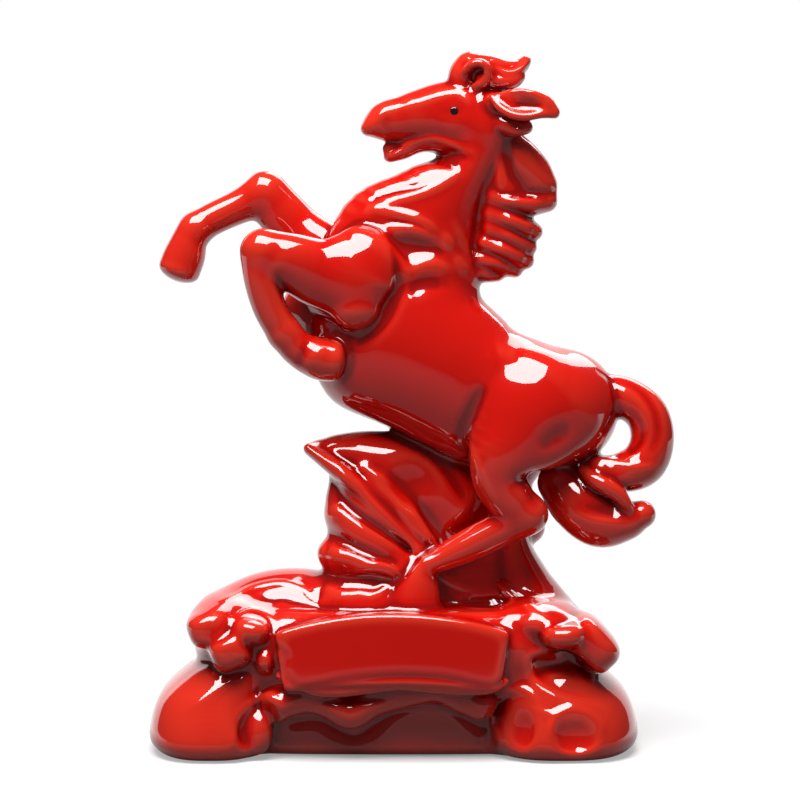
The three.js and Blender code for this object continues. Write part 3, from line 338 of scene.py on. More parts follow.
class Clay:
    """A lump of clay: distances to its surface on a grid, less than zero inside."""

    def __init__(self, low, high, step):
        self.step = step
        self.low = np.asarray(low, float)
        self.count = np.ceil((np.asarray(high) - self.low) / step).astype(int) + 1
        self.axes = [
            (start + step * np.arange(count)).astype(np.float32)
            for start, count in zip(self.low, self.count)
        ]
        self.depth = np.full(self.count, EMPTY, np.float32)
        self.hollow = None
        self.claims = {}

    def window(self, low, high, margin):
        """The part of the grid that holds a box and a margin round it."""
        first = np.floor((np.asarray(low) - margin - self.low) / self.step).astype(int)
        last = np.ceil((np.asarray(high) + margin - self.low) / self.step).astype(int) + 1
        first = np.clip(first, 0, self.count - 1)
        last = np.clip(last, first + 1, self.count)
        return tuple(slice(start, end) for start, end in zip(first, last))

    def measure(self, window, rule):
        """What the rule gives at each grid point of the window, a few columns at a time."""
        x, y, z = (axis[part] for axis, part in zip(self.axes, window))

        def columns(some):
            grid = np.stack(np.meshgrid(some, y, z, indexing="ij"), -1).reshape(-1, 3)
            return rule(grid).reshape(len(some), len(y), len(z))

        batches = np.array_split(x, max(1, len(x) // BATCH))
        with ThreadPoolExecutor(CREW) as crew:
            return np.concatenate(list(crew.map(columns, batches))).astype(np.float32)

    def claim(self, piece, form, *edges):
        """Says that the skin near the form, short of the edges, is this piece's."""
        self.claims.setdefault(piece, []).append((form, edges))

    def near(self, form, blend):
        """The window in which a form counts, and how far its grid points lie from the form."""
        window = self.window(form.low, form.high, 1.2 * blend + 3)
        return window, self.measure(window, form.distance)

    def add(self, piece, form, *edges, blend):
        """Presses a form on, with a fillet, as part of the piece."""
        window, distance = self.near(form, blend)
        self.depth[window] = soft_least(self.depth[window], distance, blend)
        self.claim(piece, form, *edges)

    def carve(self, form, blend):
        """Cuts a form out, with a rounded edge."""
        window, distance = self.near(form, blend)
        self.depth[window] = soft_most(self.depth[window], -distance, blend)

    def outermost(self, x, z, side):
        """The y of the skin at x and z, as seen from that side of the figurine."""
        across, up = (
            int(round((value - self.low[axis]) / self.step)) for value, axis in ((x, 0), (z, 2))
        )
        column = self.depth[across, :, up]
        filled = np.flatnonzero(column < 0)
        if not len(filled):
            return None
        index = filled[-1] if side > 0 else filled[0]
        gap = column[index + side]
        return float(self.axes[1][index] + side * self.step * column[index] / (column[index] - gap))

    def on_skin(self, route, side):
        """A smooth line of points along a route of (x, z) on that side's skin, evened out in y,
        or None where the route misses the clay."""
        spots = [(x, self.outermost(x, z, side), z) for x, z in smooth_line(route, 5)]
        spots = [spot for spot in spots if spot[1] is not None]
        if len(spots) < 3:
            return None
        line = np.array(spots)
        usual = np.median(line[:, 1])
        line[:, 1] = np.clip(line[:, 1], usual - STROKE_REACH, usual + STROKE_REACH)
        padded = np.pad(line[:, 1], STROKE_EVENING // 2, mode="edge")
        line[:, 1] = np.convolve(padded, np.ones(STROKE_EVENING) / STROKE_EVENING, "valid")
        return line

    def draw(self, rise, width, route, sides=(NEAR, FAR)):
        """Raises a ridge along a route of (x, z) on each side's skin, or presses a groove where
        rise is negative. It fades out at its ends."""
        for side in sides:
            line = self.on_skin(route, side)
            if line is None:
                continue
            arch = np.linspace(STROKE_START, math.pi - STROKE_START, len(line))
            fade = np.sin(arch).astype(np.float32) ** 0.5
            window = self.window(line.min(0), line.max(0), 2.2 * width)

            def swell(points):
                leg, share, gap = nearest_on_line(points, line)
                height = fade[leg] * (1 - share) + fade[leg + 1] * share
                return rise * height * np.exp(-(gap / width) ** 2)

            self.depth[window] -= self.measure(window, swell)

    def draw_all(self, strokes):
        for stroke in strokes:
            self.draw(*stroke)

    def glaze(self, thickness):
        """Softens the whole surface as a coat of that thickness does."""
        self.depth = blur(self.depth, thickness / self.step)

    def sample(self, grid, points):
        """The grid's value at points, by its eight nearest grid points."""
        place = (points - self.low) / self.step
        base = np.clip(np.floor(place).astype(int), 0, self.count - 2)
        share = (place - base).astype(np.float32)
        total = np.zeros(len(points), np.float32)
        for corner in itertools.product((0, 1), repeat=3):
            weight = np.prod(np.where(corner, share, 1 - share), axis=1)
            total += weight * grid[tuple((base + corner).T)]
        return total

    def slope(self, points):
        """The direction in which the distance grows, and how fast."""
        shifts = np.eye(3) * self.step
        return np.stack([
            (self.sample(self.depth, points + shift) - self.sample(self.depth, points - shift))
            / (2 * self.step) for shift in shifts
        ], axis=1)

    def settle(self, points, rounds=2):
        """Moves points along the slope onto the surface."""
        for _ in range(rounds):
            slope = self.slope(points)
            square = np.maximum(np.einsum("ij,ij->i", slope, slope), LEAST_SQUARE)
            move = self.sample(self.depth, points) / square
            points = points - slope * np.clip(move, -1, 1)[:, None]
        return points


def blur(grid, spread):
    """A Gaussian blur along the three axes of a grid, with its spread in grid steps. It reaches
    as far as two and a half spreads."""
    reach = max(1, math.ceil(2.5 * spread))
    weights = np.exp(-0.5 * (np.arange(-reach, reach + 1) / spread) ** 2)
    weights = (weights / weights.sum()).astype(np.float32)
    for axis in range(3):
        padding = [(reach, reach) if index == axis else (0, 0) for index in range(3)]
        padded = np.pad(grid, padding, mode="edge")
        length = grid.shape[axis]
        grid = sum(
            weight * padded[tuple(
                slice(shift, shift + length) if index == axis else slice(None) for index in range(3)
            )] for shift, weight in enumerate(weights)
        )
    return grid


# The castings' shapes, as stations (x, y, z, half depth, half width) in millimetres

TRUNK = [
    (-18, 0, 127, 30, 20), (-3, 0, 116, 38, 26), (16, 0, 102.5, 33.5, 28), (36, 0, 89.5, 30.5, 27),
    (57, 0, 84.5, 26.5, 27), (70, 0, 82.5, 25, 24.5),
]
NECK = [
    (0.5, 0, 132, 32, 20.5), (7.5, 0, 152, 32.5, 18), (18.6, 0, 168.3, 20.7, 15.5),
    (30.6, 0, 182.8, 12, 12.7), (38, 0, 197, 14, 12),
]
SKULL = [
    (39.5, 0, 203, 14.5, 12), (28, 0, 204.5, 15.5, 12.6), (20, 0, 205.5, 13.5, 12),
    (10, 0, 204.6, 11, 10.4), (4, 0, 203.6, 9.6, 9), (-1.6, 0, 203, 8.6, 8.2),
    (-6, 0, 201.5, 7.6, 7.6), (-9.5, 0, 200.1, 5.2, 7), (-12, 0, 198.9, 2.8, 5.6),
]
JAW = [
    (-1.4, 0, 188.7, 3.4, 5), (4, 0, 190.6, 3.9, 6), (10, 0, 193.2, 4, 7.4), (17, 0, 194.4, 5.2, 9.4),
    (26, 0, 192.8, 6.2, 10.4), (33, 0, 194, 6, 10),
]
MOUTH = [(-9, 0, 191.2, 3.2, 14), (-3.4, 0, 191.4, 2.9, 14), (3.6, 0, 192.6, 0.9, 14)]
TONGUE = [(-3, 0, 191, 2.6, 2), (2, 0, 191.8, 2.8, 2.6), (8, 0, 193, 3, 4)]
EAR = [
    (41, 9, 211, 3.8, 4), (48, 12, 210.2, 5.2, 4.6), (56, 14, 209.8, 5.8, 4.8),
    (62, 14.5, 209, 5.2, 4), (66.5, 15, 206.4, 2.6, 2.6),
]
EAR_RIM = [
    (40.5, 13, 213, 1.5, 1.8), (43.7, 15.6, 208.6, 1.9, 2.1), (48.6, 17.4, 205.6, 2.1, 2.2),
    (54.1, 18, 204.7, 2.1, 2.2), (61.1, 17.4, 205.6, 1.9, 2.0), (67, 16, 205, 1.3, 1.6),
]
EAR_TOP = [
    (44, 13.4, 213.6, 1.3, 1.6), (50, 15.6, 215, 1.4, 1.8), (56, 16.6, 214.8, 1.4, 1.8),
    (62, 16.4, 212.6, 1.4, 1.6), (66.5, 16, 208, 1.2, 1.4),
]
EAR_LOBE = [(44.5, 9, 202, 4, 4.4), (50, 12, 200, 3.8, 4.4), (55, 12, 200.2, 3, 3.4)]
EAR_CUP = ((53.5, 20.6, 210), (9.8, 4.4, 3.4))
LOBE_CUP = ((51, 17.2, 200.9), (4.2, 2.6, 1.7))
BUN = [(28, 0, 216, 5.2, 7.6), (28.6, 0, 222, 5.8, 8.2), (31, 0, 225.8, 5.6, 7.6)]
WAVE = [
    (33, -1, 226.9, 4.6, 7.2), (41, -1, 226.8, 3.6, 7), (48, 0, 225, 3.4, 6.4),
    (53, 0, 225.4, 3.2, 5.2), (55.2, 0, 227.8, 2.4, 3.6),
]
WAVE_CREST = [
    (38.5, 5, 226.4, 1.7, 3.2), (43, 6, 223.8, 1.9, 3.2), (48, 6, 222.5, 1.9, 3.2),
    (52.5, 4.5, 224, 1.7, 3), (55.4, 3, 227, 1.1, 2),
]
UNDER_WAVE = [
    (37, 3, 220.4, 3.2, 6), (43, 4, 219.4, 3.4, 6), (49, 4, 219.2, 3.3, 5.4),
    (51.8, 2, 220.6, 2.8, 4.4),
]
CURL = [
    (29.7, 8, 223.2, 1.5, 2.2), (32.4, 9.6, 226.2, 1.8, 2.3), (36, 10, 226.8, 1.9, 2.4),
    (38.7, 10, 225, 1.9, 2.4), (39.2, 9.5, 221.6, 2, 2.4), (37, 8.6, 218.4, 2, 2.4),
    (34, 8, 217.4, 1.6, 2),
]
CURL_EYE = ((34.8, 11.2, 222.4), (1.4, 1.8, 1.9))
MANE_CORE = [
    (45, 0, 193, 6, 7.5), (46.5, 0, 176, 10.5, 9.4), (44, 0, 158, 10.5, 9), (39, 0, 143, 6.5, 7.4),
]
MANE_CROWN = [
    (46.5, 0, 197, 4.5, 6.6), (52, 0, 190, 7, 8.4), (56.5, 0, 182, 9, 9), (60, 0, 175.5, 8.6, 8.6),
]
MANE_ROWS = [
    [(42, 0, 171.4, 4.4, 9.6), (49, 0, 169.8, 5, 12), (57, 0, 168.2, 5, 10.6),
     (64, 0, 169.2, 4.6, 7)],
    [(40.5, 0, 164, 4, 9.4), (49, 0, 161.4, 4.6, 11.8), (56, 0, 158, 4.4, 9.6),
     (59, 0, 156.6, 3.6, 6.4)],
    [(40, 0, 158.2, 3.2, 9.4), (48, 0, 155, 3.5, 11), (54.6, 0, 151.4, 3.4, 8.6),
     (57.4, 0, 150, 2.8, 6)],
    [(38, 0, 152, 4.2, 9.6), (46, 0, 149.2, 4.8, 11.6), (53, 0, 145.6, 4.4, 8.8),
     (55.4, 0, 144.4, 3.6, 5.6)],
    [(36.5, 0, 145.2, 3.8, 9.2), (43, 0, 143.6, 4, 10), (49, 0, 141, 3.6, 7.4), (51, 0, 140.2, 3, 5)],
    [(35.6, 0, 140, 3.2, 8), (39.6, 0, 138.4, 3, 7.4), (43.6, 0, 138.2, 2.6, 5.4)],
]
CHEST = ((-33, 3, 127), (14, 12, 11), 20)
NEAR_SHOULDER = [(-8, 16, 146, 17, 11), (-15, 19, 137, 18, 12), (-15.5, 22, 126, 10.5, 9)]
NEAR_FOREARM = [
    (-10.5, 16, 141, 16, 11), (-20, 18, 139, 17, 12), (-31, 20, 140.5, 14.5, 11),
    (-42.5, 22.3, 145.5, 11.6, 10), (-53.5, 23, 149, 9.7, 9),
]
NEAR_FORE_CANNON = [
    (-53.5, 23, 149, 9.7, 9), (-54.5, 23.8, 138.5, 7.4, 8), (-51, 23.8, 126, 7, 7.4),
    (-45, 23, 115.5, 7, 7.4),
]
NEAR_FORE_HOOF = [
    (-45, 23, 115.5, 7, 7.4), (-39, 22, 109, 7.6, 8), (-31, 21, 105, 8.8, 9),
    (-25, 20, 104, 8.8, 9.5),
]
FAR_SHOULDER = [(-8, 15, 146, 17, 11), (-14, 15, 138, 18, 12), (-14, 17, 128, 12, 9)]
FAR_FOREARM = [
    (-20.5, 10, 143.5, 14, 10), (-32, 13, 150, 12, 10), (-40.5, 15, 156.5, 11, 9),
    (-48, 15, 164.5, 10.5, 8.5), (-54, 15, 172, 9.7, 8),
]
FAR_FORE_CANNON = [
    (-54, 15, 172, 9.7, 8), (-64, 15, 167, 7.4, 7.4), (-76, 14, 161.5, 6.9, 7),
    (-83.5, 13, 157, 7.1, 7.4),
]
FAR_FORE_HOOF = [
    (-83.5, 13, 157, 7.1, 7.4), (-86, 12.6, 152.5, 7.6, 8), (-88, 12.2, 146.5, 8.8, 8.6),
    (-90.5, 12.2, 140, 9, 9.5),
]
NEAR_THIGH = [
    (67.5, 14, 88, 22, 14), (56.5, 18.7, 77.5, 22, 13), (46.5, 21, 66, 16, 12),
    (44, 21, 55, 11.5, 10.5), (49, 21, 46, 10, 9.5), (55, 20, 40, 8.4, 8.5),
]
NEAR_HIND_CANNON = [
    (55.8, 20, 40, 8.2, 8.5), (44.4, 19.2, 33.6, 7.4, 8.2), (30.8, 18.2, 26.6, 6.8, 7.8),
    (20.5, 17.5, 21.6, 5.6, 7.4), (13.4, 17.2, 18.6, 4.8, 7),
]
NEAR_HIND_HOOF = [
    (13.6, 17.2, 19, 5, 7), (11, 17, 13.5, 8.2, 9), (8.8, 17, 5.5, 11, 10.5), (8, 17, -2, 12.2, 11),
]
FAR_THIGH = [
    (67, 14, 85, 21, 13), (58, 18, 71.5, 19, 12), (50.5, 19, 58.5, 14, 11), (49, 19, 47, 10.5, 9.5),
    (53, 18, 37, 8.4, 8.5), (57, 18, 30, 7, 8),
]
FAR_HIND_CANNON = [
    (57, 18, 30, 6.7, 7.5), (47.5, 17, 21, 5, 7), (36, 16, 13.5, 4.7, 6.7), (30, 16, 9, 5.5, 7),
]
FAR_HIND_HOOF = [(30, 16, 8.5, 5.5, 7), (31.5, 16, 5, 7.3, 9), (33, 16, -1, 9.2, 10)]
TAIL_ARCH = [
    (80, 0, 86.5, 8.5, 9), (90, 0, 88, 8.8, 9.6), (99, -1, 86, 8.8, 9.6), (106.5, -2, 79.5, 9, 10),
    (108.5, -3, 69, 9.2, 10), (104.5, -4, 59.5, 9.6, 10.4), (95, -6, 56, 8.4, 10),
    (86, -8, 57.5, 5.8, 7.6),
]
TAIL_TIP = [
    (70, -2, 52, 10, 9), (77, -4, 43, 11.8, 11.6), (86.5, -6, 36, 11.8, 11.6), (97, -7, 36, 9, 10),
    (104, -8, 38.5, 6, 7),
]
TAIL_LOCK = [
    (80.4, -9, 56.8, 3, 4.6), (84, -13, 53.8, 3.6, 5), (88.8, -15, 51.2, 3.8, 4.8),
    (93.4, -15, 48, 3.5, 4.4), (96.6, -14.4, 44.4, 2.8, 4), (98.6, -13.8, 41.4, 2, 3),
]
ROCK_SLABS = [
    [(26, 0, 40, 18, 10), (8, 0, 54, 17, 12), (-9, 0, 61, 12.5, 12), (-23, 0, 64.6, 7.4, 9.5),
     (-31, 0, 65.8, 3.6, 6)],
    [(6, -7, 17, 5, 13), (-5, -7, 24.5, 6.5, 15), (-15, -6, 31.5, 7, 15), (-22, -5, 37.5, 6, 11)],
    [(6, -8, 13, 5, 13), (-6, -8.5, 18, 7, 16), (-18, -8, 21.5, 7.5, 15.5), (-24.5, -6, 22, 7, 11)],
    [(4, -8, 2, 8, 13), (-10, -10, 2, 9, 17), (-22, -9.5, 2.5, 9, 15), (-28, -8, 3, 8, 10)],
]
ROCK_FOLDS = [
    [(-34, -3, 65, 3, 7), (-22, -10.5, 56.8, 4, 6.6), (-7, -12.5, 44.8, 3.6, 6),
     (6, -13, 32, 3, 5.6), (11.5, -13, 24.6, 2.2, 5)],
    [(-12, -9, 58, 2.4, 5), (-3, -11, 52, 2.6, 5.6), (5, -12, 43, 2.6, 5.6),
     (16, -12.5, 27.6, 1.8, 5)],
]
ROCK_PANEL = ((10, -20, 54), (15, 10, 13), -35)
ROCK_FILL = [
    (-12, -5, -4, 17, 17), (-11, -5, 14, 17, 17), (-9, -5, 26, 16, 16), (-9, -4.5, 33, 17, 15),
    (-9.5, -4, 41, 18.5, 14), (-11, -2, 50, 17, 11), (-13, -1, 57, 13.5, 9),
]
ROCK_SHOULDER = [
    (-13, 0, -4, 15, 17), (-13, 0, 20, 13.6, 15), (-12, 0, 40, 14, 13), (-8, 0, 55, 17, 10),
]
ROCK_CORE = [(16, 5, -4, 46, 18), (15, 5, 17, 40, 15), (16, 4, 39, 38, 11), (18, 4, 56, 33, 9)]
ROCK_SLOPE = [(52, 8, 42, 6, 12), (50, 9, 25, 8, 14), (53, 9, 9, 13, 18), (57, 8, -4, 18, 22)]

# The plinth's tiers: length, depth, height above the floor and centre along X
CORE_TIERS = [(190, 54, 0, 0), (190, 54, 20, 0), (166, 74, 33, 0), (168, 80, 48, 0), (150, 66, 61, 0)]
LEFT_FOOT_TIERS = [(46, 82, 0, -76), (54, 88, 8, -76), (48, 77, 24, -74), (38, 62, 38, -64)]
RIGHT_FOOT_TIERS = [(58, 82, 0, 70), (66, 88, 8, 70), (60, 77, 24, 68), (50, 62, 38, 58)]
PLINTH_TIERS = (CORE_TIERS, LEFT_FOOT_TIERS, RIGHT_FOOT_TIERS)
PLINTH_WALL = 5.0
# Boulders and scoops, as a ball's centre, half sizes and turn, then the blend. A boulder's last
# number is its power.
BOULDERS = [
    ((-42, 4, -6), (36, 26, 20), 0, 6, 2),
    ((-66, -12, -7), (18, 24, 11), -22, 8, 2),
    ((-76.5, -23, -6.5), (9.2, 15, 7.8), 18, 4, 3),
    ((-67.4, -31, -15.4), (8.4, 11.5, 7.4), 24, 3.4, 3),
    ((-58.6, -32, -6.8), (7.2, 9.5, 5), -12, 3.6, 2.6),
    ((-53, -33.5, -19.5), (3.4, 5.5, 5), 0, 3, 2),
    ((62, -14, -5), (18, 22, 8.5), -6, 5, 2),
    ((60, 14, -8), (20, 18, 9), 0, 5, 2),
    ((82.5, -21, -13.6), (12.6, 17, 8.6), -48, 3, 3),
    ((70.4, -31, -8.6), (9.2, 12.5, 5.2), 4, 2.8, 2.6),
]
PEBBLE = ((-55.6, -32, -50), (5.4, 5.5, 8))
DRAPERY = [
    (-48, -31, -37.5, 7, 8), (-36, -32, -34.6, 7, 8), (-27, -32.5, -36.5, 7, 8),
    (-17.5, -32.5, -41, 7, 8), (-8.5, -32.5, -36, 7, 8), (4, -32, -32.5, 7, 8), (18, -32, -30, 7, 8),
    (28, -31.5, -34.5, 7, 8), (35, -31, -37.5, 7, 8),
]
SCOOPS = [
    ((-56, -40, -46), (9, 6.5, 11), 0, 3),
    ((50, -42.5, -45), (8.8, 7, 12), 0, 2),
    ((76, -44, -48.5), (10.5, 5, 8.5), 0, 2),
    ((66, -37, -21.5), (11, 8, 4.4), -16, 2),
    ((-16, -42.5, -34.5), (17, 4.5, 2.4), 2, 1.6),
]
PLAQUE = {
    "centre": (-0.5, -37.2, -19.3), "length": 97, "height": 25.4, "thickness": 14, "tilt": 4,
    "arch": 8, "sill_arch": 3.5, "bow": 2, "taper": 4,
}
PLAQUE_LIP = [
    (-47, -38.6, -24.8, 1.8, 2.6), (-40, -40.6, -27, 2.5, 3), (-32, -41.2, -30.4, 2.6, 3),
    (-22, -41.6, -30.8, 2.6, 3), (-12, -41.9, -29.6, 2.6, 3), (2.7, -42.1, -27.8, 2.6, 3),
    (18.6, -41.9, -29.4, 2.6, 3), (34, -41.2, -30, 2.6, 3), (41, -40.6, -29.4, 2.4, 3),
    (46, -39.6, -27, 2, 2.8),
]

# Strokes on the skin, as rise, width and a route of (x, z). A negative rise is a groove.
HEAD_STROKES = [
    (0.9, 2.2, [(-5, 206.9), (5.3, 209.6), (12.2, 211.3), (19, 213.7), (25.9, 215.4), (29, 213.7),
                (30.4, 211)]),
    (0.9, 1.5, [(-3.8, 206.7), (-5.5, 205.1), (-6.4, 202), (-6, 198.9)]),
    (-0.6, 1.6, [(-3, 203.6), (-3.6, 201.6), (-3.2, 200)]),
    (-0.8, 4, [(16.3, 205.8), (24.5, 207.5), (30.7, 207.5)]),
    (0.9, 1.4, [(3.3, 192.6), (8.8, 194.2), (16.3, 195.6), (21.8, 193.9), (26, 192.2), (32.1, 190)]),
    (-1.4, 1.6, [(4.3, 190.5), (9.5, 191.8), (16.3, 192.9), (21.8, 191), (26, 189), (31.1, 187.4)]),
    (0.6, 1.0, [(3.6, 192.2), (0.9, 189.8), (-2.2, 187.8)]),
    (-2.0, 3, [(13, 186.4), (20, 186.6), (27, 184.6)]),
]
NECK_STROKES = [
    (1.5, 2.2, [(25.2, 181.2), (21.8, 177.8), (16.3, 174.7), (8.8, 172), (-0.2, 169.6),
                (-10.5, 165.8)]),
    (-1.3, 1.6, [(-8.1, 171.5), (-1.6, 173.9), (5.3, 175.3), (12.9, 176.3)]),
    (1.8, 1.8, [(-10.4, 166.3), (-2.9, 165.6), (5.3, 163.5), (12.2, 161.1), (16.6, 158.7)]),
    (-1.2, 1.3, [(-1.5, 162.3), (8.7, 160.4), (15.9, 157)]),
    (1.7, 2.4, [(-3.9, 157.8), (5.3, 158.4), (10.8, 157.4), (15.6, 155.2)]),
    (-2.6, 4, [(1.2, 152.2), (8.7, 150.9), (17.6, 149.8)]),
    (1.6, 3.5, [(3.9, 137.4), (8.7, 142.1), (15.6, 143.9), (23.8, 141.5)]),
    (-1.4, 3.5, [(6, 133), (12, 136), (20, 136)]),
    (1.5, 2.6, [(20.7, 156), (22.5, 152.2), (23, 150)]),
    (1.3, 2.8, [(25.2, 147), (28.6, 142.6), (30, 140)]),
    (1.0, 2.5, [(25.2, 159.3), (30.1, 149.4), (34.2, 134.9)]),
]
MANE_STROKES = [
    (1.2, 1.8, [(44.3, 188), (44.5, 180.8), (45.1, 174.6)]),
    (1.0, 2.2, [(50.2, 192), (51.4, 186), (54, 181)]),
    (-1.5, 2.4, [(46.6, 193.1), (48.7, 182.2), (52.1, 176.3)]),
    (1.2, 2.8, [(50.7, 195.2), (54.2, 188.3), (58.3, 181.5), (63.8, 176.7)]),
    (-1.6, 1.3, [(42.5, 174.6), (46.6, 172.4), (53.5, 172.2), (60.4, 173.6), (67.2, 173.3)]),
]
BODY_STROKES = [
    (-2.2, 2.2, [(0.8, 148.8), (2.1, 137), (-1.6, 125.1), (-6.7, 117.7), (-13.8, 112.1)]),
    (-2.4, 3.2, [(35.6, 91), (31.8, 82.6), (28.8, 75.4), (28.4, 65.2), (30.6, 53.3)]),
    (1.4, 6, [(42, 106.3), (47, 107), (52, 107.2)]),
    (0.9, 2, [(32, 68.1), (35.6, 59.6), (39.8, 49.4), (41.9, 45.2)]),
    (-1.6, 5, [(60, 68), (66, 73.3), (74, 77)]),
    (-1.1, 1.3, [(-35.4, 113), (-38, 106.1), (-40.2, 99.4)]),
    (0.8, 1.6, [(-29.4, 109.6), (-33.4, 104.4), (-34.6, 99.2)]),
    (0.8, 2.6, [(-46.6, 146.6), (-50.4, 138.4), (-47.2, 126.6), (-42.4, 117.4)]),
    (-0.9, 2.5, [(50.9, 57.3), (56, 50.4), (58.6, 44.5)]),
    (-1.6, 1.1, [(85.4, 98.8), (88.6, 96.6), (90.8, 93.6), (92.3, 89), (92.4, 83.2), (90.8, 79.6),
                 (88, 75)]),
]
TAIL_STROKES = [
    (-1.1, 1.8, [(92.7, 95.5), (102.5, 91), (108.7, 82.6), (110.3, 72.9), (107.8, 66.6)]),
    (-0.9, 1.8, [(99.7, 81.9), (103.6, 75), (102.9, 68.7), (97.8, 63.8)]),
    (1.3, 1.4, [(80.3, 58.4), (82, 60.8), (85.6, 62.4), (91, 61.8), (96.3, 59.9), (102.2, 58.7),
                (109.7, 58.8)]),
    (-1.3, 3, [(78.5, 43.5), (85, 42), (91, 40.5), (94.6, 38.6)]),
    (0.9, 1.2, [(76.1, 39.3), (81.7, 37.2), (88.6, 36.2), (94.1, 36.9)]),
]
ROCK_STROKES = [
    (1.4, 1.7, [(-22.1, 55.4), (-15.3, 50.2), (-6.1, 41), (3, 31.9), (10.5, 23.7)]),
    (1.6, 1.5, [(-11.2, 54.4), (-4.5, 49.4), (1.3, 44.4), (6.3, 36.1), (14.5, 27.9)]),
    (-1.4, 1.8, [(-12, 50.6), (-5, 44.6), (2, 37.4), (8, 30), (12.2, 25.4)]),
    (-1.5, 2.4, [(-12, 75.9), (3, 70), (14.5, 65), (22.9, 56), (29.6, 45)]),
    (1.0, 1.6, [(-27.7, 55.8), (-16.2, 44.6), (-3.6, 34.8), (9.6, 24.9)]),
    (-2.0, 1.9, [(-27, 50), (-16, 41), (-4, 32.2), (4, 26.4)]),
    (1.3, 1.8, [(-25.4, 42), (-16, 36.2), (-4, 28.8), (8.6, 21)]),
    (-1.8, 2.2, [(-24.6, 29.8), (-14.6, 25.6), (-6.5, 22.8), (0.6, 20.6)]),
    (1.4, 2.2, [(-14.6, 16.6), (-10.5, 18.4), (-6.5, 18.8), (-2.5, 17.8), (1.1, 15.2)]),
    (-1.9, 2.2, [(-19.6, 12.6), (-10.5, 14.2), (-4.5, 13.8), (0.5, 12)]),
    (1.3, 1.6, [(-28, 9.6), (-22.1, 6.9), (-14.5, 7.4), (-8.5, 6.7), (-4.5, 8.2), (-0.4, 12)]),
    (-2.0, 1.6, [(0.6, 12.4), (4.6, 15.5), (8.6, 20.6), (15.7, 26.6), (22.2, 32.2), (27.3, 36.6)]),
    (1.2, 1.2, [(26.5, 3.2), (37.5, 4), (47.7, 5.3), (49.4, 2.3), (44.4, -1.1), (33.3, -0.2),
                (26.5, 1.9)]),
    (-1.5, 2.4, [(29.9, 1.5), (37.5, 1.9), (45.2, 2.3)]),
    (1.4, 2.4, [(55.5, 5), (58.1, 0.5), (62.4, -0.8)]),
    (1.0, 1.2, [(16.3, 17.8), (20.6, 12.6), (29.1, 8.3), (35.1, 6.6)]),
]
PLINTH_STROKES = [
    (1.0, 2.4, [(-95.3, -38.3), (-87.6, -30.9), (-78.5, -23.9)]),
    (1.0, 2.2, [(-82.7, -38.1), (-75, -32.2), (-67.3, -27.1)]),
    (2.0, 1.5, [(-65.9, -52), (-64.5, -43), (-59.8, -37.4), (-52.2, -33.9), (-47.4, -36),
                (-46, -41), (-46, -51)]),
    (2.0, 1.5, [(44, -53), (42.1, -48.3), (40.4, -41.5), (42.8, -35.4), (48.9, -31.7), (55, -32),
                (58.4, -35.4)]),
    (1.6, 1.4, [(67.9, -52.4), (64.8, -47), (67.2, -41.5), (72, -38.5), (80.1, -40.2),
                (85.6, -44.9), (86.2, -48.3)]),
    (0.8, 1.2, [(57.7, -38.3), (64, -40.6), (72.3, -39.7)]),
    (1.4, 1.8, [(78.6, -14.4), (66.8, -14.8), (57.7, -16.8), (55.4, -21.7), (58.5, -28.1),
                (66.8, -33), (83.5, -37.9)]),
    (-2.0, 3.4, [(80.7, -19.6), (68.2, -21), (61.9, -25.3), (72.4, -30.9), (86.3, -35.1)]),
    (0.9, 1.0, [(73.4, -18.5), (77.2, -21.6), (83.4, -23.7), (86.9, -25.1), (91.7, -22.3),
                (94.8, -19.2)]),
    (0.8, 1.0, [(62.3, -11.9), (68.1, -13), (76.4, -12.6), (80.3, -9.6)]),
    (0.8, 1.0, [(-84.5, -9), (-79.7, -10.6), (-74.8, -9.7), (-69.9, -6.2)]),
    (0.8, 1.0, [(-75.1, -20.6), (-69.3, -22.7), (-62.4, -21.3), (-59.6, -16.7)]),
    (1.2, 1.3, [(-75.4, 0.3), (-67, 5), (-57.2, 9.2), (-46, 10.6), (-37.7, 8.1), (-32.8, 3.8),
                (-22.3, 2.1)]),
    (-1.6, 2.6, [(-53.2, 4), (-46.2, 5.4), (-39.2, 3.3)]),
    (1.1, 1.2, [(-66.9, -1.9), (-59.9, 0.9), (-52.9, -0.5), (-48.7, -4), (-49.4, -7.5)]),
    (-1.6, 1.4, [(64, -15.8), (72.3, -17.7), (80.7, -21.7), (87, -26.7)]),
    (-1.8, 2.2, [(-41.7, -46), (-30.6, -45.4), (-17, -52), (-8, -47), (0, -42), (10, -39.6),
                 (24, -41), (36, -48)]),
]
PLAQUE_STROKES = [
    (-1.1, 1.3, [(-49.1, -11.4), (-44.6, -15.6), (-45, -22), (-41.4, -28.3)]),
    (-1.5, 1.2, [(-41, -27.4), (-38, -28.6), (-30, -27.6), (-16, -25.2), (2.9, -23.8), (22, -25),
                 (38, -28.4), (44.4, -26.6), (46.6, -22.4)]),
]

# Luting seams: a point on the seam, and the way from the torso into the limb
NECK_SEAM = ((13, 0, 160), (10, 0, 17))
NEAR_FORE_SEAM = ((-31, 0, 140), (-11, 0, 5))
FAR_FORE_SEAM = ((-33, 0, 157), (-1, 0, 1))
NEAR_HIND_SEAM = ((47, 0, 57), (0, 0, -1))
FAR_HIND_SEAM = ((50, 0, 52), (0, 0, -1))


MUZZLE_CAP = 1.6
HOOF_CAP = 5
UPPER_SLAB_EDGE = 1.7


def model_shared(clay, piece, form, seam, blend):
    """Presses on a form that the torso shares with another piece, on either side of a seam."""
    point, way = seam
    clay.add("torso", form, Shelf(point, -np.asarray(way, float)), blend=blend)
    clay.claim(piece, form, Shelf(point, way))


def model_trunk(clay):
    clay.add("torso", Roll(TRUNK), blend=0)
    clay.add("torso", Ball(*CHEST), blend=6)
    model_shared(clay, "head_and_neck", Roll(NECK), NECK_SEAM, blend=6)


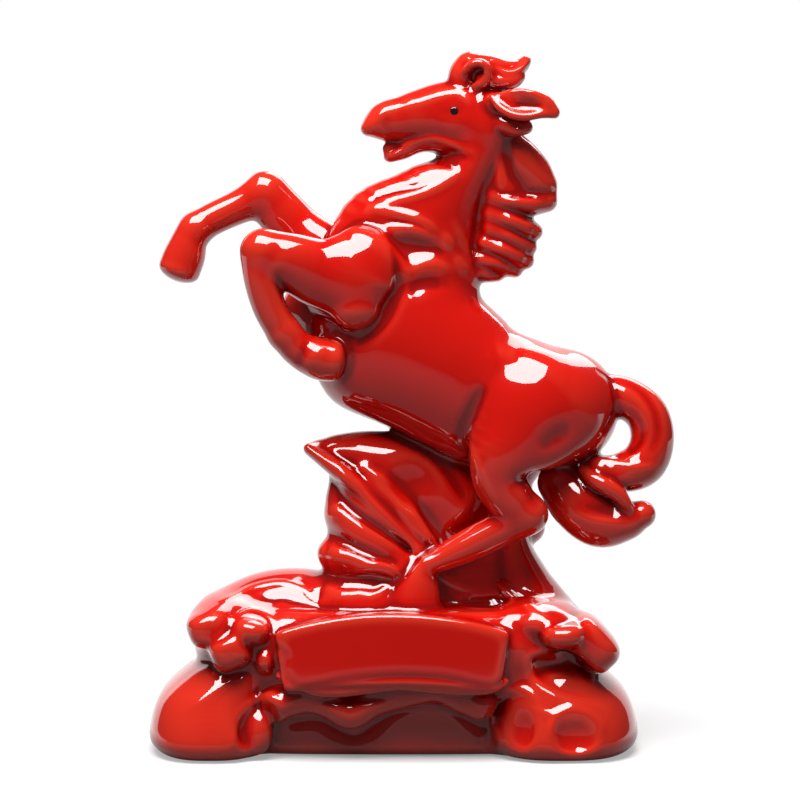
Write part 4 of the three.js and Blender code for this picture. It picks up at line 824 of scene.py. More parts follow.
def model_forelegs(clay):
    for piece, side, shoulder, forearm, cannon, hoof, seam in (
        ("near_foreleg", NEAR, NEAR_SHOULDER, NEAR_FOREARM, NEAR_FORE_CANNON, NEAR_FORE_HOOF,
         NEAR_FORE_SEAM),
        ("far_foreleg", FAR, FAR_SHOULDER, FAR_FOREARM, FAR_FORE_CANNON, FAR_FORE_HOOF,
         FAR_FORE_SEAM),
    ):
        clay.add("torso", Roll(shoulder, side), blend=2)
        model_shared(clay, piece, Roll(forearm, side), seam, blend=4)
        clay.add(piece, Roll(cannon, side), blend=2.5)
        clay.add(piece, Roll(hoof, side, caps=(None, HOOF_CAP)), blend=2)


def model_hind_legs(clay):
    for piece, side, thigh, cannon, hoof, seam in (
        ("near_hind_leg", NEAR, NEAR_THIGH, NEAR_HIND_CANNON, NEAR_HIND_HOOF, NEAR_HIND_SEAM),
        ("far_hind_leg", FAR, FAR_THIGH, FAR_HIND_CANNON, FAR_HIND_HOOF, FAR_HIND_SEAM),
    ):
        model_shared(clay, piece, Roll(thigh, side), seam, blend=7)
        clay.add(piece, Roll(cannon, side), blend=3)
        clay.add(piece, Roll(hoof, side), blend=2)


def model_head(clay):
    clay.add("head_and_neck", Roll(SKULL, caps=(None, MUZZLE_CAP)), blend=4)
    clay.add("head_and_neck", Roll(JAW), blend=1.6)
    clay.carve(Roll(MOUTH), blend=0.8)
    clay.add("head_and_neck", Roll(TONGUE), blend=0.8)
    clay.draw_all(HEAD_STROKES + NECK_STROKES)


def model_mane(clay):
    clay.add("mane", Roll(MANE_CORE), blend=3)
    clay.add("mane", Roll(MANE_CROWN), blend=2.5)
    for row in MANE_ROWS:
        clay.add("mane", Roll(row), blend=2.2)
    clay.draw_all(MANE_STROKES)


def model_ears(clay):
    for piece, side in (("ear_near", NEAR), ("ear_far", FAR)):
        for stations, blend in ((EAR, 2), (EAR_LOBE, 1.2), (EAR_RIM, 0.8), (EAR_TOP, 0.8)):
            clay.add(piece, Roll(stations, side), blend=blend)
        for (x, y, z), halves in (EAR_CUP, LOBE_CUP):
            clay.carve(Ball((x, side * y, z), halves, turn=-4), blend=0.9)


def model_forelock(clay):
    clay.add("forelock", Roll(BUN), blend=1.6)
    clay.add("forelock", Roll(WAVE), blend=1.6)
    for side in (NEAR, FAR):
        for stations, blend in ((UNDER_WAVE, 0.8), (WAVE_CREST, 0.7), (CURL, 0.7)):
            clay.add("forelock", Roll(stations, side), blend=blend)
        (x, y, z), halves = CURL_EYE
        clay.carve(Ball((x, side * y, z), halves), blend=0.8)


def model_tail(clay):
    clay.add("tail", Roll(TAIL_ARCH), blend=1.5)
    clay.add("tail", Roll(TAIL_TIP), blend=1.2)
    clay.draw_all(TAIL_STROKES)
    clay.add("tail", Roll(TAIL_LOCK), blend=0.8)


def model_body_folds(clay):
    clay.draw_all(BODY_STROKES)


def model_rock(clay):
    upper, *lower = ROCK_SLABS
    for form in (ROCK_CORE, ROCK_SLOPE, ROCK_SHOULDER):
        clay.add("rock_outcrop", Roll(form), blend=3)
    clay.add("rock_outcrop", Roll(ROCK_FILL), blend=7)
    clay.add("rock_outcrop", Roll(upper, edge=UPPER_SLAB_EDGE), blend=2.5)
    for slab in lower:
        clay.add("rock_outcrop", Roll(slab), blend=4)
    for fold in ROCK_FOLDS:
        clay.add("rock_outcrop", Roll(fold), blend=3.5)
    clay.carve(Ball(*ROCK_PANEL), blend=3)


def model_plinth(clay):
    for tiers in PLINTH_TIERS:
        clay.add("plinth", Stack(tiers), blend=3.5)
    for centre, halves, turn, blend, power in BOULDERS:
        clay.add("plinth", Ball(centre, halves, turn, power), blend=blend)
    clay.add("plinth", Roll(DRAPERY), blend=2.5)
    for *ball, blend in SCOOPS:
        clay.carve(Ball(*ball), blend)
    clay.add("plinth", Ball(*PEBBLE), blend=5)


def model_plaque(clay):
    clay.add("plaque_panel", Panel(**PLAQUE), blend=1)
    clay.add("plaque_panel", Roll(PLAQUE_LIP), blend=1.2)


def model_ground_folds(clay):
    """The strokes of the rock, plinth and plaque. The far side has them softer, at half the
    height, and without those of the plaque."""
    for stroke in ROCK_STROKES + PLINTH_STROKES + PLAQUE_STROKES:
        clay.draw(*stroke, sides=(NEAR,))
    for rise, width, route in ROCK_STROKES + PLINTH_STROKES:
        clay.draw(0.5 * rise, 1.6 * width, route, sides=(FAR,))


def hollow_plinth(clay):
    """Hollows the plinth, a wall's thickness inside its outside. The hollow keeps a floor here,
    though the solid's is open underneath."""
    hollow = np.full_like(clay.depth, EMPTY)
    for tiers in PLINTH_TIERS:
        form = Stack(tiers, PLINTH_WALL)
        window = clay.window(form.low, form.high, margin=6)
        distance = clay.measure(window, form.distance)
        hollow[window] = soft_least(hollow[window], distance, blend=4)
    clay.hollow = soft_most(hollow, clay.depth + PLINTH_WALL, blend=2)
    clay.depth = soft_most(clay.depth, -clay.hollow, blend=1)


def level_sole(clay):
    """Cuts the plinth level at the floor, with a rounded edge."""
    above = clay.axes[2][None, None, :] - FLOOR
    clay.depth = soft_most(clay.depth, -above, blend=1.5)


BOX_MARGIN = 4


def model_figurine(step):
    """All the clay of the figurine, on a grid of that step."""
    low, high = (np.array(corner) / MM - plinth_middle() - (0, 0, PLINTH_TOP) for corner in cad_box)
    clay = Clay(low - BOX_MARGIN, high + BOX_MARGIN, step)
    for work in (
        model_trunk, model_forelegs, model_hind_legs, model_head, model_mane, model_ears,
        model_forelock, model_tail, model_body_folds, model_rock, model_plinth, model_plaque,
        model_ground_folds, hollow_plinth, level_sole,
    ):
        work(clay)
    return clay


# From clay to skin

CORNERS = list(itertools.product((0, 1), repeat=3))
EDGES = [
    (first, second) for first, second in itertools.combinations(range(8), 2)
    if sum(a != b for a, b in zip(CORNERS[first], CORNERS[second])) == 1
]


def skin_of(clay):
    """A net over the clay's surface: one point for each grid cell that the surface crosses, and
    one quad, turned outwards, for each grid line that it crosses."""
    inside = clay.depth < 0
    cells = tuple(count - 1 for count in clay.count)

    def corner(grid, offset):
        return grid[tuple(slice(start, start + size) for start, size in zip(offset, cells))]

    filled = sum(corner(inside, offset).astype(np.int8) for offset in CORNERS)
    crossed = np.argwhere((filled > 0) & (filled < 8))
    number = np.full(cells, -1, np.int32)
    number[tuple(crossed.T)] = np.arange(len(crossed))
    values = [clay.depth[tuple((crossed + offset).T)] for offset in CORNERS]
    total = np.zeros((len(crossed), 3))
    hits = np.zeros(len(crossed))
    for first, second in EDGES:
        cut = (values[first] < 0) != (values[second] < 0)
        share = values[first][cut] / (values[first][cut] - values[second][cut])
        start, end = np.array(CORNERS[first]), np.array(CORNERS[second])
        total[cut] += start + share[:, None] * (end - start)
        hits[cut] += 1
    points = clay.low + (crossed + total / hits[:, None]) * clay.step
    quads = []
    for axis in range(3):
        other, third = (axis + 1) % 3, (axis + 2) % 3
        here = [slice(1, -1)] * 3
        here[axis] = slice(0, -1)
        there = list(here)
        there[axis] = slice(1, None)
        start, end = inside[tuple(here)], inside[tuple(there)]
        place = np.argwhere(start != end)
        outward = start[tuple(place.T)]
        place += [0 if index == axis else 1 for index in range(3)]
        ring = []
        for step_other, step_third in ((0, 0), (-1, 0), (-1, -1), (0, -1)):
            shift = np.zeros(3, int)
            shift[other], shift[third] = step_other, step_third
            ring.append(number[tuple((place + shift).T)])
        ring = np.stack(ring, axis=1)
        quads.append(np.where(outward[:, None], ring, ring[:, ::-1]))
    return points, np.vstack(quads)


def relax(clay, points, quads, rounds):
    """Evens out the net along the surface."""
    pairs = np.vstack([quads[:, sides] for sides in ([0, 1], [1, 2], [2, 3], [3, 0])])
    degree = np.bincount(pairs[:, 0], minlength=len(points))[:, None]
    for _ in range(rounds):
        mean = np.stack([
            np.bincount(pairs[:, 0], points[pairs[:, 1], axis], len(points)) for axis in range(3)
        ], axis=1) / degree
        points = clay.settle(0.5 * points + 0.5 * mean, 1)
    return clay.settle(points)


def triangles_of(points, quads):
    """Two triangles for each quad, along its shorter diagonal."""
    across = np.linalg.norm(points[quads[:, 0]] - points[quads[:, 2]], axis=1)
    other = np.linalg.norm(points[quads[:, 1]] - points[quads[:, 3]], axis=1)
    turned = np.where((across <= other)[:, None], quads, np.roll(quads, 1, axis=1))
    return np.vstack([turned[:, [0, 1, 2]], turned[:, [0, 2, 3]]])


LEAST_SHARE = 0.04


def part(values, triangles, score):
    """Splits triangles along the line where score is nought. values has a row for each point,
    and grows by the points on that line. Returns values and the triangles on either side."""
    below = score[triangles] < 0
    count = below.sum(1)
    split = (count == 1) | (count == 2)
    mixed, flags = triangles[split], below[split]
    lone_below = flags.sum(1) == 1
    lone = np.argmax(flags == lone_below[:, None], axis=1)
    rows = np.arange(len(mixed))
    tip, left, right = (mixed[rows, (lone + shift) % 3] for shift in range(3))
    ends = np.sort(np.vstack([np.stack([tip, left], 1), np.stack([tip, right], 1)]), axis=1)
    lines, which = np.unique(ends, axis=0, return_inverse=True)
    which = which.reshape(-1)
    start, end = lines.T
    share = score[start] / (score[start] - score[end])
    share = np.clip(share, LEAST_SHARE, 1 - LEAST_SHARE)[:, None]
    fresh = values[start] * (1 - share) + values[end] * share
    first = len(values) + which[:len(mixed)]
    second = len(values) + which[len(mixed):]
    tips = np.stack([tip, first, second], 1)
    rests = np.vstack([np.stack([first, left, right], 1), np.stack([first, right, second], 1)])
    twice = np.concatenate([lone_below, lone_below])
    under = np.vstack([triangles[count == 3], tips[lone_below], rests[~twice]])
    over = np.vstack([triangles[count == 0], tips[~lone_below], rests[twice]])
    return np.vstack([values, fresh]), under, over


# The castings, in the order in which they are parted from the skin. The last takes the rest.
CAST_PIECES = (
    "plaque_panel", "ear_near", "ear_far", "forelock", "mane", "tail", "near_foreleg",
    "far_foreleg", "near_hind_leg", "far_hind_leg", "head_and_neck", "rock_outcrop", "plinth",
    "torso",
)
FAR_OFF = 30.0
CLOSE = 8


def nearness(clay, piece, points):
    """How far points lie from the forms that the piece claims, as far as it matters."""
    least = np.full(len(points), FAR_OFF, np.float32)
    for form, edges in clay.claims[piece]:
        close = np.all((points > form.low - CLOSE) & (points < form.high + CLOSE), axis=1)
        some = points[close].astype(np.float32)
        if not len(some):
            continue
        gap = form.distance(some)
        for edge in edges:
            gap = np.maximum(gap, edge.distance(some))
        least[close] = np.minimum(least[close], gap)
    return least


def close_ends(points, triangles):
    """Fans that close the open rims of a casting, from a point in the middle of each rim."""
    edges = np.vstack([triangles[:, [0, 1]], triangles[:, [1, 2]], triangles[:, [2, 0]]])
    known = set(map(tuple, edges.tolist()))
    onward = {}
    for start, end in known:
        if (end, start) not in known:
            onward.setdefault(end, []).append(start)

    def leave(place):
        """Takes the way that leads on from a place of the rim."""
        following = onward[place].pop()
        if not onward[place]:
            del onward[place]
        return following

    middles, fans = [], []
    while onward:
        first = next(iter(onward))
        rim = [first]
        place = leave(first)
        while place != first and place in onward:
            rim.append(place)
            place = leave(place)
        hub = len(points) + len(middles)
        middles.append(points[rim].mean(0))
        fans += [(hub, rim[index - 1], rim[index]) for index in range(len(rim))]
    return np.array(middles).reshape(-1, 3), np.array(fans, int).reshape(-1, 3)


def flat_normals(spots, faces):
    """A normal for each triangle, not yet at a length of one."""
    first, second, third = (spots[faces[:, column]] for column in range(3))
    return np.cross(second - first, third - first)


RELAX_ROUNDS = 3
LEAST_AREA = 1e-9

# The sole is bare up to a height above the floor and fades into glaze over the next stretch. The
# skin by the hollow's face is bare too, and fades out at this depth from it.
BARE_SOLE = 0.4
BARE_FADE = 0.5
BARE_DEPTH = 1.5


class Figurine:
    """The figurine's skin, parted into castings. It is modelled once, when the first casting
    is asked for."""

    made = None

    @classmethod
    def get(cls):
        if cls.made is None:
            cls.made = cls()
        return cls.made

    def __init__(self):
        sizes = bpy.context.scene.horse_clay
        self.clay = clay = model_figurine(sizes.grid_step)
        clay.glaze(sizes.glaze_coat)
        wide = blur(clay.depth, sizes.edge_width / clay.step)
        points, quads = skin_of(clay)
        points = relax(clay, points, quads, RELAX_ROUNDS)
        edge = clay.sample(wide, points) - clay.sample(clay.depth, points)
        near = [nearness(clay, piece, points) for piece in CAST_PIECES]
        values = np.column_stack([points, edge, self.bareness(points)] + near)
        first_near = values.shape[1] - len(near)
        self.parts = {}
        rest = triangles_of(points, quads)
        for column, piece in enumerate(CAST_PIECES[:-1], first_near):
            score = values[:, column] - values[:, column + 1:].min(1)
            values, self.parts[piece], rest = part(values, rest, score)
        self.parts[CAST_PIECES[-1]] = rest
        self.points, self.edge, self.bare = values[:, :3], values[:, 3], values[:, 4]
        slope = clay.slope(self.points)
        self.normals = slope / np.linalg.norm(slope, axis=1)[:, None]

    def bareness(self, points):
        """One on the plinth's unglazed sole and in its hollow, nought on the glaze."""
        sole = np.clip(1 - (points[:, 2] - FLOOR - BARE_SOLE) / BARE_FADE, 0, 1)
        inner = np.clip(BARE_DEPTH - self.clay.sample(np.abs(self.clay.hollow), points), 0, 1)
        return np.maximum(sole, inner)

    def casting(self, piece):
        """Builds one closed mesh of the piece, with the skin's own normals."""
        triangles = self.parts[piece]
        used, triangles = np.unique(triangles, return_inverse=True)
        triangles = triangles.reshape(-1, 3)
        points = self.points[used]
        middles, fans = close_ends(points, triangles)
        faces = np.vstack([triangles, fans])
        spots = np.vstack([points, middles])
        plain = np.zeros(len(middles))
        edge, bare = (np.concatenate([field[used], plain]) for field in (self.edge, self.bare))
        normals = np.vstack([self.normals[used], np.zeros((len(middles), 3))])
        corners = normals[faces]
        flat = flat_normals(spots, fans)
        flat /= np.maximum(np.linalg.norm(flat, axis=1), LEAST_AREA)[:, None]
        corners[len(triangles):] = flat[:, None, :]
        return add_mesh(piece, to_metres(spots), faces, corners.reshape(-1, 3), edge=edge, bare=bare)


def add_object(name, data):
    """Makes an object of a mesh, lamp or camera and links it to the scene."""
    thing = bpy.data.objects.new(name, data)
    bpy.context.scene.collection.objects.link(thing)
    return thing


def add_mesh(name, points, faces, corner_normals, **fields):
    """Makes a mesh object of triangles, with its corner normals and a number per point for each
    named field, and lets it ride on the figurine's body in place of its node."""
    mesh = bpy.data.meshes.new(name)
    mesh.vertices.add(len(points))
    mesh.vertices.foreach_set("co", np.asarray(points, np.float32).ravel())
    mesh.loops.add(faces.size)
    mesh.loops.foreach_set("vertex_index", faces.astype(np.int32).ravel())
    mesh.polygons.add(len(faces))
    mesh.polygons.foreach_set("loop_start", np.arange(0, faces.size, 3, dtype=np.int32))
    mesh.update(calc_edges=True)
    mesh.validate()
    mesh.polygons.foreach_set("use_smooth", np.ones(len(mesh.polygons), bool))
    if len(mesh.polygons) == len(faces):
        mesh.normals_split_custom_set(corner_normals.tolist())
    for field, numbers in fields.items():
        layer = mesh.attributes.new(field, "FLOAT", "POINT")
        layer.data.foreach_set("value", np.asarray(numbers, np.float32))
    piece = add_object(name + "_glazed", mesh)
    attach(piece, BODY)
    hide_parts(name)
    return piece


# Shader maths

class Socket:
    """A shader value. Its operators add Math nodes; numbers alone stay in Python."""

    def __init__(self, tree, output):
        self.tree = tree
        self.output = output

    def math(self, operation, *others):
        return self.tree.node("ShaderNodeMath", {"operation": operation}, self, *others)

    def __add__(self, other):
        return self.math("ADD", other)

    __radd__ = __add__

    def __mul__(self, other):
        return self.math("MULTIPLY", other)

    __rmul__ = __mul__

    def __sub__(self, other):
        return self.math("SUBTRACT", other)

    def __rsub__(self, other):
        return self.tree.node("ShaderNodeMath", {"operation": "SUBTRACT"}, other, self)

    def clamped(self):
        """The value kept between nought and one."""
        return self.tree.node("ShaderNodeClamp", {}, self)


class Tree:
    """The node tree of a material or of the world, with one way to add a node."""

    def __init__(self, holder):
        holder.use_nodes = True
        self.tree = holder.node_tree
        self.tree.nodes.clear()

    def node(self, kind, settings, *inputs, out=0, **named):
        """Adds a node of a kind with its settings, feeds its sockets, and gives an output. An
        input of None leaves its socket as it is."""
        node = self.tree.nodes.new(kind)
        for key, value in settings.items():
            setattr(node, key, value)
        feeds = dict(enumerate(inputs))
        feeds.update((key.replace("_", " "), value) for key, value in named.items())
        for key, value in feeds.items():
            if isinstance(value, Socket):
                self.tree.links.new(value.output, node.inputs[key])
            elif value is not None:
                node.inputs[key].default_value = value
        return Socket(self, node.outputs[out]) if node.outputs else None

    def mix(self, share, first, second):
        """A mix of two colours, which are the node's inputs 6 and 7."""
        colours = (*[None] * 5, first, second)
        return self.node("ShaderNodeMix", {"data_type": "RGBA"}, share, *colours, out=2)

    def place(self):
        """Where a point lies in its object."""
        return self.node("ShaderNodeTexCoord", {}, out="Object")

    def noise(self, scale, detail):
        """Noise with a scale and a detail, fixed to the object."""
        kind = "ShaderNodeTexNoise"
        return self.node(kind, {}, Vector=self.place(), Scale=scale, Detail=detail, out="Fac")

    def field(self, name):
        """The mesh's own numbers of that name."""
        return self.node("ShaderNodeAttribute", {"attribute_name": name}, out="Fac")


def colour(values):
    """Three shares of red, green and blue as an opaque colour."""
    return (*values, 1.0)


# Finishes

# The glaze is thin where its edge value passes a start, which the clouds of the glaze sway
THIN_START = 0.3
THIN_SWAY = 0.3
# Below this edge value the glaze darkens in folds: thicker pooled glaze, and painted shade of the
# folds
POOL_AND_SHADE_START = 0.05

# The most of each tone that is mixed into the glaze
DEEP_SHARE = 0.35
# The share of the fold darkening, which is pooled glaze and painted shade
POOL_AND_SHADE_SHARE = 0.75
THIN_SHARE = 0.55


def glaze_material():
    """Deep red glaze: it breaks lighter over edges, pools darker in folds, and stops short of
    the unglazed sole and hollow of the plinth."""
    look = bpy.context.scene.horse_glaze
    material = bpy.data.materials.new("horse_red_glaze")
    tree = Tree(material)
    edge = tree.field("edge")
    bare = tree.field("bare")
    cloud = tree.noise(scale=28.0, detail=3.0)
    grain = tree.noise(scale=900.0, detail=2.0)
    swell = tree.noise(scale=70.0, detail=1.0)
    thin = (edge * look.edge_gain - THIN_START + (cloud - 0.5) * THIN_SWAY).clamped()
    # Folds and creases are darkened: partly pooled glaze, partly painted shade
    pooled_and_shaded = (edge * -look.edge_gain - POOL_AND_SHADE_START).clamped()
    tone = tree.mix((cloud - 0.3) * DEEP_SHARE, colour(look.red), colour(look.red_deep))
    tone = tree.mix(pooled_and_shaded * POOL_AND_SHADE_SHARE, tone, colour(look.red_pooled_shade))
    tone = tree.mix(thin * THIN_SHARE, tone, colour(look.red_thin))
    body = tree.mix(grain * 0.5, colour(look.bisque), colour(look.bisque_dark))
    tone = tree.mix(bare, tone, body)
    height = swell * (1 - bare) + grain * bare * 0.6
    bump = tree.node("ShaderNodeBump", {}, Strength=0.2, Distance=0.0001, Height=height)
    shader = tree.node(
        "ShaderNodeBsdfPrincipled", {}, Base_Color=tone, Roughness=0.22 + cloud * 0.06 + bare * 0.5,
        Specular_IOR_Level=0.03, Normal=bump, Coat_Weight=1 - bare, Coat_Roughness=0.012,
        Coat_IOR=1.8,
    )
    tree.node("ShaderNodeOutputMaterial", {}, Surface=shader)
    return material


def enamel_material():
    """Black enamel, fired on as a dot."""
    material = bpy.data.materials.new("horse_black_enamel")
    tree = Tree(material)
    cloud = tree.noise(scale=600.0, detail=2.0)
    tone = tree.mix(cloud, colour((0.004, 0.003, 0.003)), colour((0.016, 0.010, 0.010)))
    shader = tree.node(
        "ShaderNodeBsdfPrincipled", {}, Base_Color=tone, Roughness=0.08 + cloud * 0.05,
        Coat_Weight=1.0, Coat_Roughness=0.02,
    )
    tree.node("ShaderNodeOutputMaterial", {}, Surface=shader)
    return material


def finish_of(slot):
    """The finish for a slot, made when it is first asked for. Its name isn't the slot's alone,
    because the CAD's own plain material has that one."""
    makers = {"red_glaze": glaze_material, "black_enamel": enamel_material}
    return bpy.data.materials.get("horse_" + slot) or makers[slot]()


def cast(name):
    """Adds a glazed casting to the scene."""
    piece = Figurine.get().casting(name)
    piece.data.materials.append(finish_of("red_glaze"))


# Eyes

EYE_PLACE = (25, 14, 207.3)
EYE_RINGS = 8
EYE_SPOKES = 40
EYE_SINK = 0.02
EYE_BACK = 0.6


def disc_faces(rings, spokes, back):
    """Triangles between the rings round point 0, and from the last ring to a point behind."""
    faces = []
    for spoke in range(spokes):
        following = (spoke + 1) % spokes
        faces.append((0, 1 + spoke, 1 + following))
        for ring in range(rings - 1):
            inner, outer = 1 + ring * spokes, 1 + (ring + 1) * spokes
            faces.append((inner + spoke, outer + spoke, outer + following))
            faces.append((inner + spoke, outer + following, inner + following))
        rim = 1 + (rings - 1) * spokes
        faces.append((rim + spoke, back, rim + following))
    return np.array(faces)


def eye_dot(name, side):
    """A low dome of enamel that follows the skull."""
    clay = Figurine.get().clay
    sizes = bpy.context.scene.horse_clay
    x, y, z = EYE_PLACE
    middle = clay.settle(np.array([[x, side * y, z]], float), 12)[0]
    out = unit(clay.slope(middle[None])[0])
    across = unit(np.cross(out, (0, 0, 1)))
    up = np.cross(across, out)
    spots, shares = [middle + out * sizes.eye_rise], [0.0]
    for ring in range(1, EYE_RINGS + 1):
        share = ring / EYE_RINGS
        for spoke in range(EYE_SPOKES):
            angle = 2 * math.pi * spoke / EYE_SPOKES
            way = across * math.cos(angle) + up * math.sin(angle)
            spots.append(middle + sizes.eye_diameter / 2 * share * way)
            shares.append(share)
    dome = sizes.eye_rise * np.sqrt(1 - np.square(shares)) - EYE_SINK
    spots = clay.settle(np.array(spots), 3) + out * dome[:, None]
    faces = disc_faces(EYE_RINGS, EYE_SPOKES, len(spots))
    spots = np.vstack([spots, middle - out * EYE_BACK])
    flat = flat_normals(spots, faces)
    if flat[0] @ out < 0:
        faces, flat = faces[:, ::-1], -flat
    smooth = np.zeros_like(spots)
    for column in range(3):
        np.add.at(smooth, faces[:, column], flat)
    smooth /= np.linalg.norm(smooth, axis=1)[:, None]
    piece = add_mesh(name, to_metres(spots), faces, smooth[faces].reshape(-1, 3))
    piece.data.materials.append(finish_of("black_enamel"))


# Sizes and colours that a user may change

def tint(name, tip, tone):
    """A colour setting."""
    return FloatVectorProperty(name=name, description=tip, subtype="COLOR", default=tone)


def lamp_power(name, watts):
    """The setting of a lamp's power."""
    tip = "Power of the softbox"
    return FloatProperty(name=name, description=tip, default=watts, unit="POWER")


class HorseClay(bpy.types.PropertyGroup):
    """Sizes of the clay, in millimetres"""

    grid_step: FloatProperty(
        name="Grid step", description="Fineness of the clay", default=1.0, min=0.4, max=3,
    )
    grid_step_quick: FloatProperty(
        name="Quick grid step", description="Fineness while trying things", default=1.2, min=0.4,
        max=3,
    )
    glaze_coat: FloatProperty(
        name="Glaze coat", description="Softening by the glaze", default=0.75, min=0.3, max=3,
    )
    edge_width: FloatProperty(
        name="Edge width", description="Width over which the glaze breaks", default=1.8,
    )
    eye_diameter: FloatProperty(name="Eye", description="Diameter of the eye's dot", default=3.5)
    eye_rise: FloatProperty(name="Eye rise", description="How far the dot stands out", default=0.35)


class HorseGlaze(bpy.types.PropertyGroup):
    """Tones of the glaze and of the unglazed body"""

    red: tint("Red", "The glaze", (0.66, 0.006, 0.002))
    red_deep: tint("Deep red", "Where the glaze lies a little thicker", (0.52, 0.004, 0.0015))
    # The darkest red, painted into folds as pooled glaze and as painted shade
    red_pooled_shade: tint("Pooled red", "Where the glaze pools in folds", (0.24, 0.001, 0.001))
    red_thin: tint("Thin red", "Where the glaze breaks over edges", (0.80, 0.045, 0.02))
    bisque: tint("Bisque", "The unglazed body", (0.72, 0.68, 0.62))
    bisque_dark: tint("Dark bisque", "Handling marks on the body", (0.50, 0.45, 0.39))
    edge_gain: FloatProperty(
        name="Edge gain", description="How readily the glaze breaks", default=5.0,
    )


class HorseStudio(bpy.types.PropertyGroup):
    """The studio's floor and light"""

    floor_size: FloatProperty(
        name="Floor", description="Width of the floor", default=4.0, unit="LENGTH",
    )
    floor_tone: tint("Floor tone", "The pale floor and backdrop", (0.9, 0.9, 0.9))
    bounce_tone: tint("Bounce tone", "The floor as it lights the figurine", (0.15, 0.15, 0.15))
    world_tone: tint("World tone", "Soft light from all round", (0.05, 0.05, 0.05))
    key_power: lamp_power("Overhead softbox", 39.0)
    rear_power: lamp_power("Rear softbox", 9.0)


# Operators

def castings_operator(label, identity, tip, names):
    """An operator class that adds the named castings."""

    def execute(self, context):
        for name in names:
            cast(name)
        return {"FINISHED"}

    return type("HORSE_OT_" + identity, (bpy.types.Operator,), {
        "bl_idname": "horse." + identity,
        "bl_label": label,
        "__doc__": tip,
        "execute": execute,
    })


CASTING_OPERATORS = [
    castings_operator("Torso", "torso", "Adds the torso", ("torso",)),
    castings_operator("Head and neck", "head", "Adds the head and neck", ("head_and_neck",)),
    castings_operator("Ears", "ears", "Adds the two ears", ("ear_near", "ear_far")),
    castings_operator("Forelock", "forelock", "Adds the curled forelock", ("forelock",)),
    castings_operator("Mane", "mane", "Adds the mane", ("mane",)),
    castings_operator(
        "Forelegs", "forelegs", "Adds the raised forelegs", ("near_foreleg", "far_foreleg"),
    ),
    castings_operator(
        "Hind legs", "hind_legs", "Adds the hind legs", ("near_hind_leg", "far_hind_leg"),
    ),
    castings_operator("Tail", "tail", "Adds the tail", ("tail",)),
    castings_operator("Rock", "rock", "Adds the rock under the belly", ("rock_outcrop",)),
    castings_operator("Plinth", "plinth", "Adds the hollow plinth", ("plinth",)),
    castings_operator("Plaque", "plaque", "Adds the blank plaque", ("plaque_panel",)),
]


class HORSE_OT_eyes(bpy.types.Operator):
    """Adds the two enamel eyes"""

    bl_idname = "horse.eyes"
    bl_label = "Eyes"

    def execute(self, context):
        eye_dot("eye_near", NEAR)
        eye_dot("eye_far", FAR)
        return {"FINISHED"}


# The photograph's view. Lengths are in millimetres, and the target is the frame's middle pixel.
CAMERA_PITCH = math.radians(5)
CAMERA_REACH = 1500.0
PIXEL_AT_TARGET = 0.42
PHOTO_WIDTH = 800
SENSOR = 36.0
TARGET = (2.7, 0, 146.9 - PLINTH_TOP)


def add_camera():
    """The camera at the photograph's viewing angle."""
    target = Vector(to_metres(np.array(TARGET)))
    back = Vector((0, -math.cos(CAMERA_PITCH), math.sin(CAMERA_PITCH)))
    data = bpy.data.cameras.new("photo_view")
    data.sensor_width = SENSOR
    data.lens = SENSOR * CAMERA_REACH / (PIXEL_AT_TARGET * PHOTO_WIDTH)
    data.clip_end = 50
    camera = add_object("photo_view", data)
    camera.location = target + back * CAMERA_REACH * MM
    camera.rotation_euler = (math.pi / 2 - CAMERA_PITCH, 0, 0)
    bpy.context.scene.camera = camera


# Softboxes, as a place and a width and height in metres, and the point that they face
OVERHEAD_SOFTBOX = ((-0.22, -0.56, 1.45), (1.25, 1.0))
REAR_SOFTBOX = ((0.4, 0.95, 1.1), (0.9, 0.7))
SOFTBOX_AIM = Vector((0, 0, 0.15))


def add_softbox(name, place, size, power):
    data = bpy.data.lights.new(name, "AREA")
    data.shape = "RECTANGLE"
    data.size, data.size_y = size
    data.energy = power
    lamp = add_object(name, data)
    lamp.location = place
    lamp.rotation_euler = (SOFTBOX_AIM - Vector(place)).to_track_quat("-Z", "Y").to_euler()


# The floor's cove and backdrop, in metres
COVE_RADIUS = 0.5
COVE_STEPS = 16
BACKDROP_TOP = 1.6

# The floor turns white about this far from the figurine's middle, over half a metre, and is seen
# white in the glaze from a little in front of it
WHITE_FROM = 0.15
MIRRORED_FROM = -0.05


def floor_material():
    """A pale floor that fades to white away from the figurine. It gives the figurine less
    light than it shows, so that the glaze keeps its dark side."""
    studio = bpy.context.scene.horse_studio
    material = bpy.data.materials.new("pale_floor")
    tree = Tree(material)
    camera, glossy, through = (
        tree.node("ShaderNodeLightPath", {}, out=name)
        for name in ("Is Camera Ray", "Is Glossy Ray", "Is Transmission Ray")
    )
    place = tree.place()
    away = tree.node("ShaderNodeVectorMath", {"operation": "LENGTH"}, place, out="Value")
    depth = tree.node("ShaderNodeSeparateXYZ", {}, place, out="Y")
    behind = ((depth - MIRRORED_FROM) * 8).clamped()
    seen = (camera + (glossy + through) * behind).clamped()
    glow = tree.node("ShaderNodeEmission", {}, Color=colour((1, 1, 1)), Strength=1.0)
    pale = tree.node("ShaderNodeBsdfDiffuse", {}, Color=colour(studio.floor_tone))
    fade = ((away - WHITE_FROM) * 2 + 0.5).clamped()
    bright = tree.node("ShaderNodeMixShader", {}, fade, pale, glow)
    dim = tree.node("ShaderNodeBsdfDiffuse", {}, Color=colour(studio.bounce_tone))
    shader = tree.node("ShaderNodeMixShader", {}, seen, dim, bright)
    tree.node("ShaderNodeOutputMaterial", {}, Surface=shader)
    return material


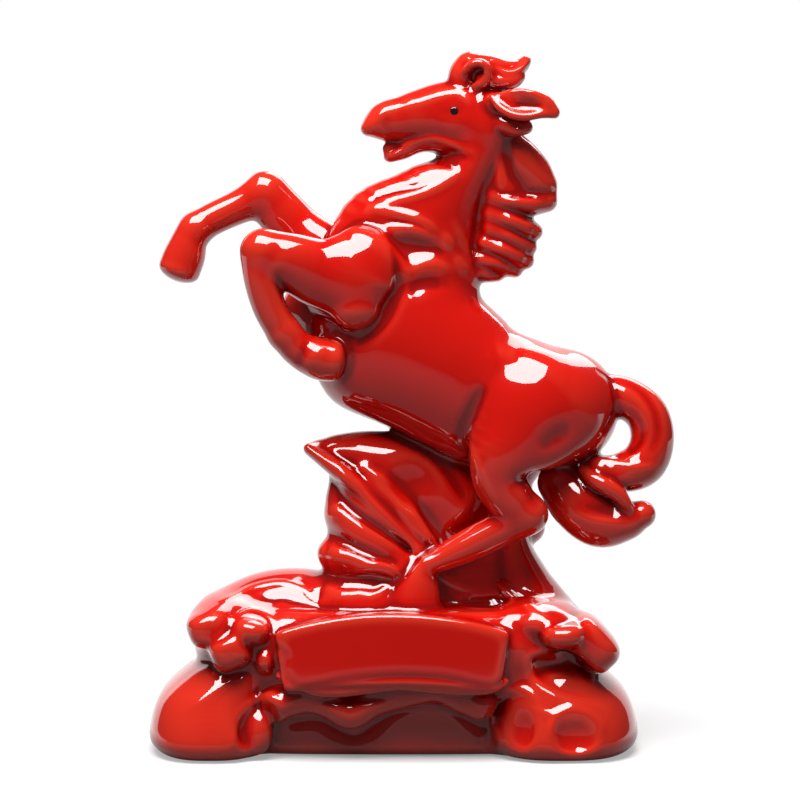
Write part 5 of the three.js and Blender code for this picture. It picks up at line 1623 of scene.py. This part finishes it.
def add_floor():
    """A floor that curves up behind the figurine."""
    half = bpy.context.scene.horse_studio.floor_size / 2
    back = half - COVE_RADIUS
    profile = [(-half, 0.0), (back, 0.0)]
    for step in range(1, COVE_STEPS + 1):
        angle = math.pi / 2 * step / COVE_STEPS
        rise = COVE_RADIUS * (1 - math.cos(angle))
        profile.append((back + COVE_RADIUS * math.sin(angle), rise))
    profile.append((half, BACKDROP_TOP))
    spots = [(x, y, z) for y, z in profile for x in (-half, half)]
    faces = [(2 * i, 2 * i + 1, 2 * i + 3, 2 * i + 2) for i in range(len(profile) - 1)]
    mesh = bpy.data.meshes.new("floor")
    mesh.from_pydata(spots, [], faces)
    mesh.polygons.foreach_set("use_smooth", [True] * len(faces))
    mesh.materials.append(floor_material())
    floor = add_object("floor", mesh)


class HORSE_OT_studio(bpy.types.Operator):
    """Adds the pale floor, the soft lamps and the camera of the photograph's view"""

    bl_idname = "horse.studio"
    bl_label = "Studio"

    def execute(self, context):
        studio = context.scene.horse_studio
        context.scene.view_settings.view_transform = "Standard"
        add_floor()
        add_softbox("overhead_softbox", *OVERHEAD_SOFTBOX, studio.key_power)
        add_softbox("rear_softbox", *REAR_SOFTBOX, studio.rear_power)
        world = bpy.data.worlds.new("soft_world")
        tree = Tree(world)
        light = tree.node("ShaderNodeBackground", {}, Color=colour(studio.world_tone), Strength=1.0)
        tree.node("ShaderNodeOutputWorld", {}, Surface=light)
        context.scene.world = world
        add_camera()
        return {"FINISHED"}


PIECE_OPERATORS = CASTING_OPERATORS + [HORSE_OT_eyes, HORSE_OT_studio]


class HORSE_PT_panel(bpy.types.Panel):
    """Every setting, and a button for each group of pieces"""

    bl_label = "Glazed Rearing Horse"
    bl_idname = "HORSE_PT_panel"
    bl_space_type = "VIEW_3D"
    bl_region_type = "UI"
    bl_category = "Horse"

    def draw(self, context):
        for group in SETTINGS:
            settings = getattr(context.scene, group)
            box = self.layout.box()
            for name in settings.bl_rna.properties.keys():
                if name not in ("rna_type", "name"):
                    box.prop(settings, name)
        for operator in PIECE_OPERATORS:
            self.layout.operator(operator.bl_idname)


SETTINGS = {"horse_clay": HorseClay, "horse_glaze": HorseGlaze, "horse_studio": HorseStudio}


def register():
    for name, group in SETTINGS.items():
        bpy.utils.register_class(group)
        setattr(bpy.types.Scene, name, PointerProperty(type=group))
    for operator in PIECE_OPERATORS:
        bpy.utils.register_class(operator)
    bpy.utils.register_class(HORSE_PT_panel)


def unregister():
    bpy.utils.unregister_class(HORSE_PT_panel)
    for operator in reversed(PIECE_OPERATORS):
        bpy.utils.unregister_class(operator)
    for name, group in reversed(SETTINGS.items()):
        delattr(bpy.types.Scene, name)
        bpy.utils.unregister_class(group)


def main():
    register()
    for operator in PIECE_OPERATORS:
        action = getattr(bpy.ops.horse, operator.bl_idname.split(".")[1])
        if action() != {"FINISHED"}:
            raise RuntimeError(operator.bl_idname + " did not finish")


if __name__ == "__main__":
    main()
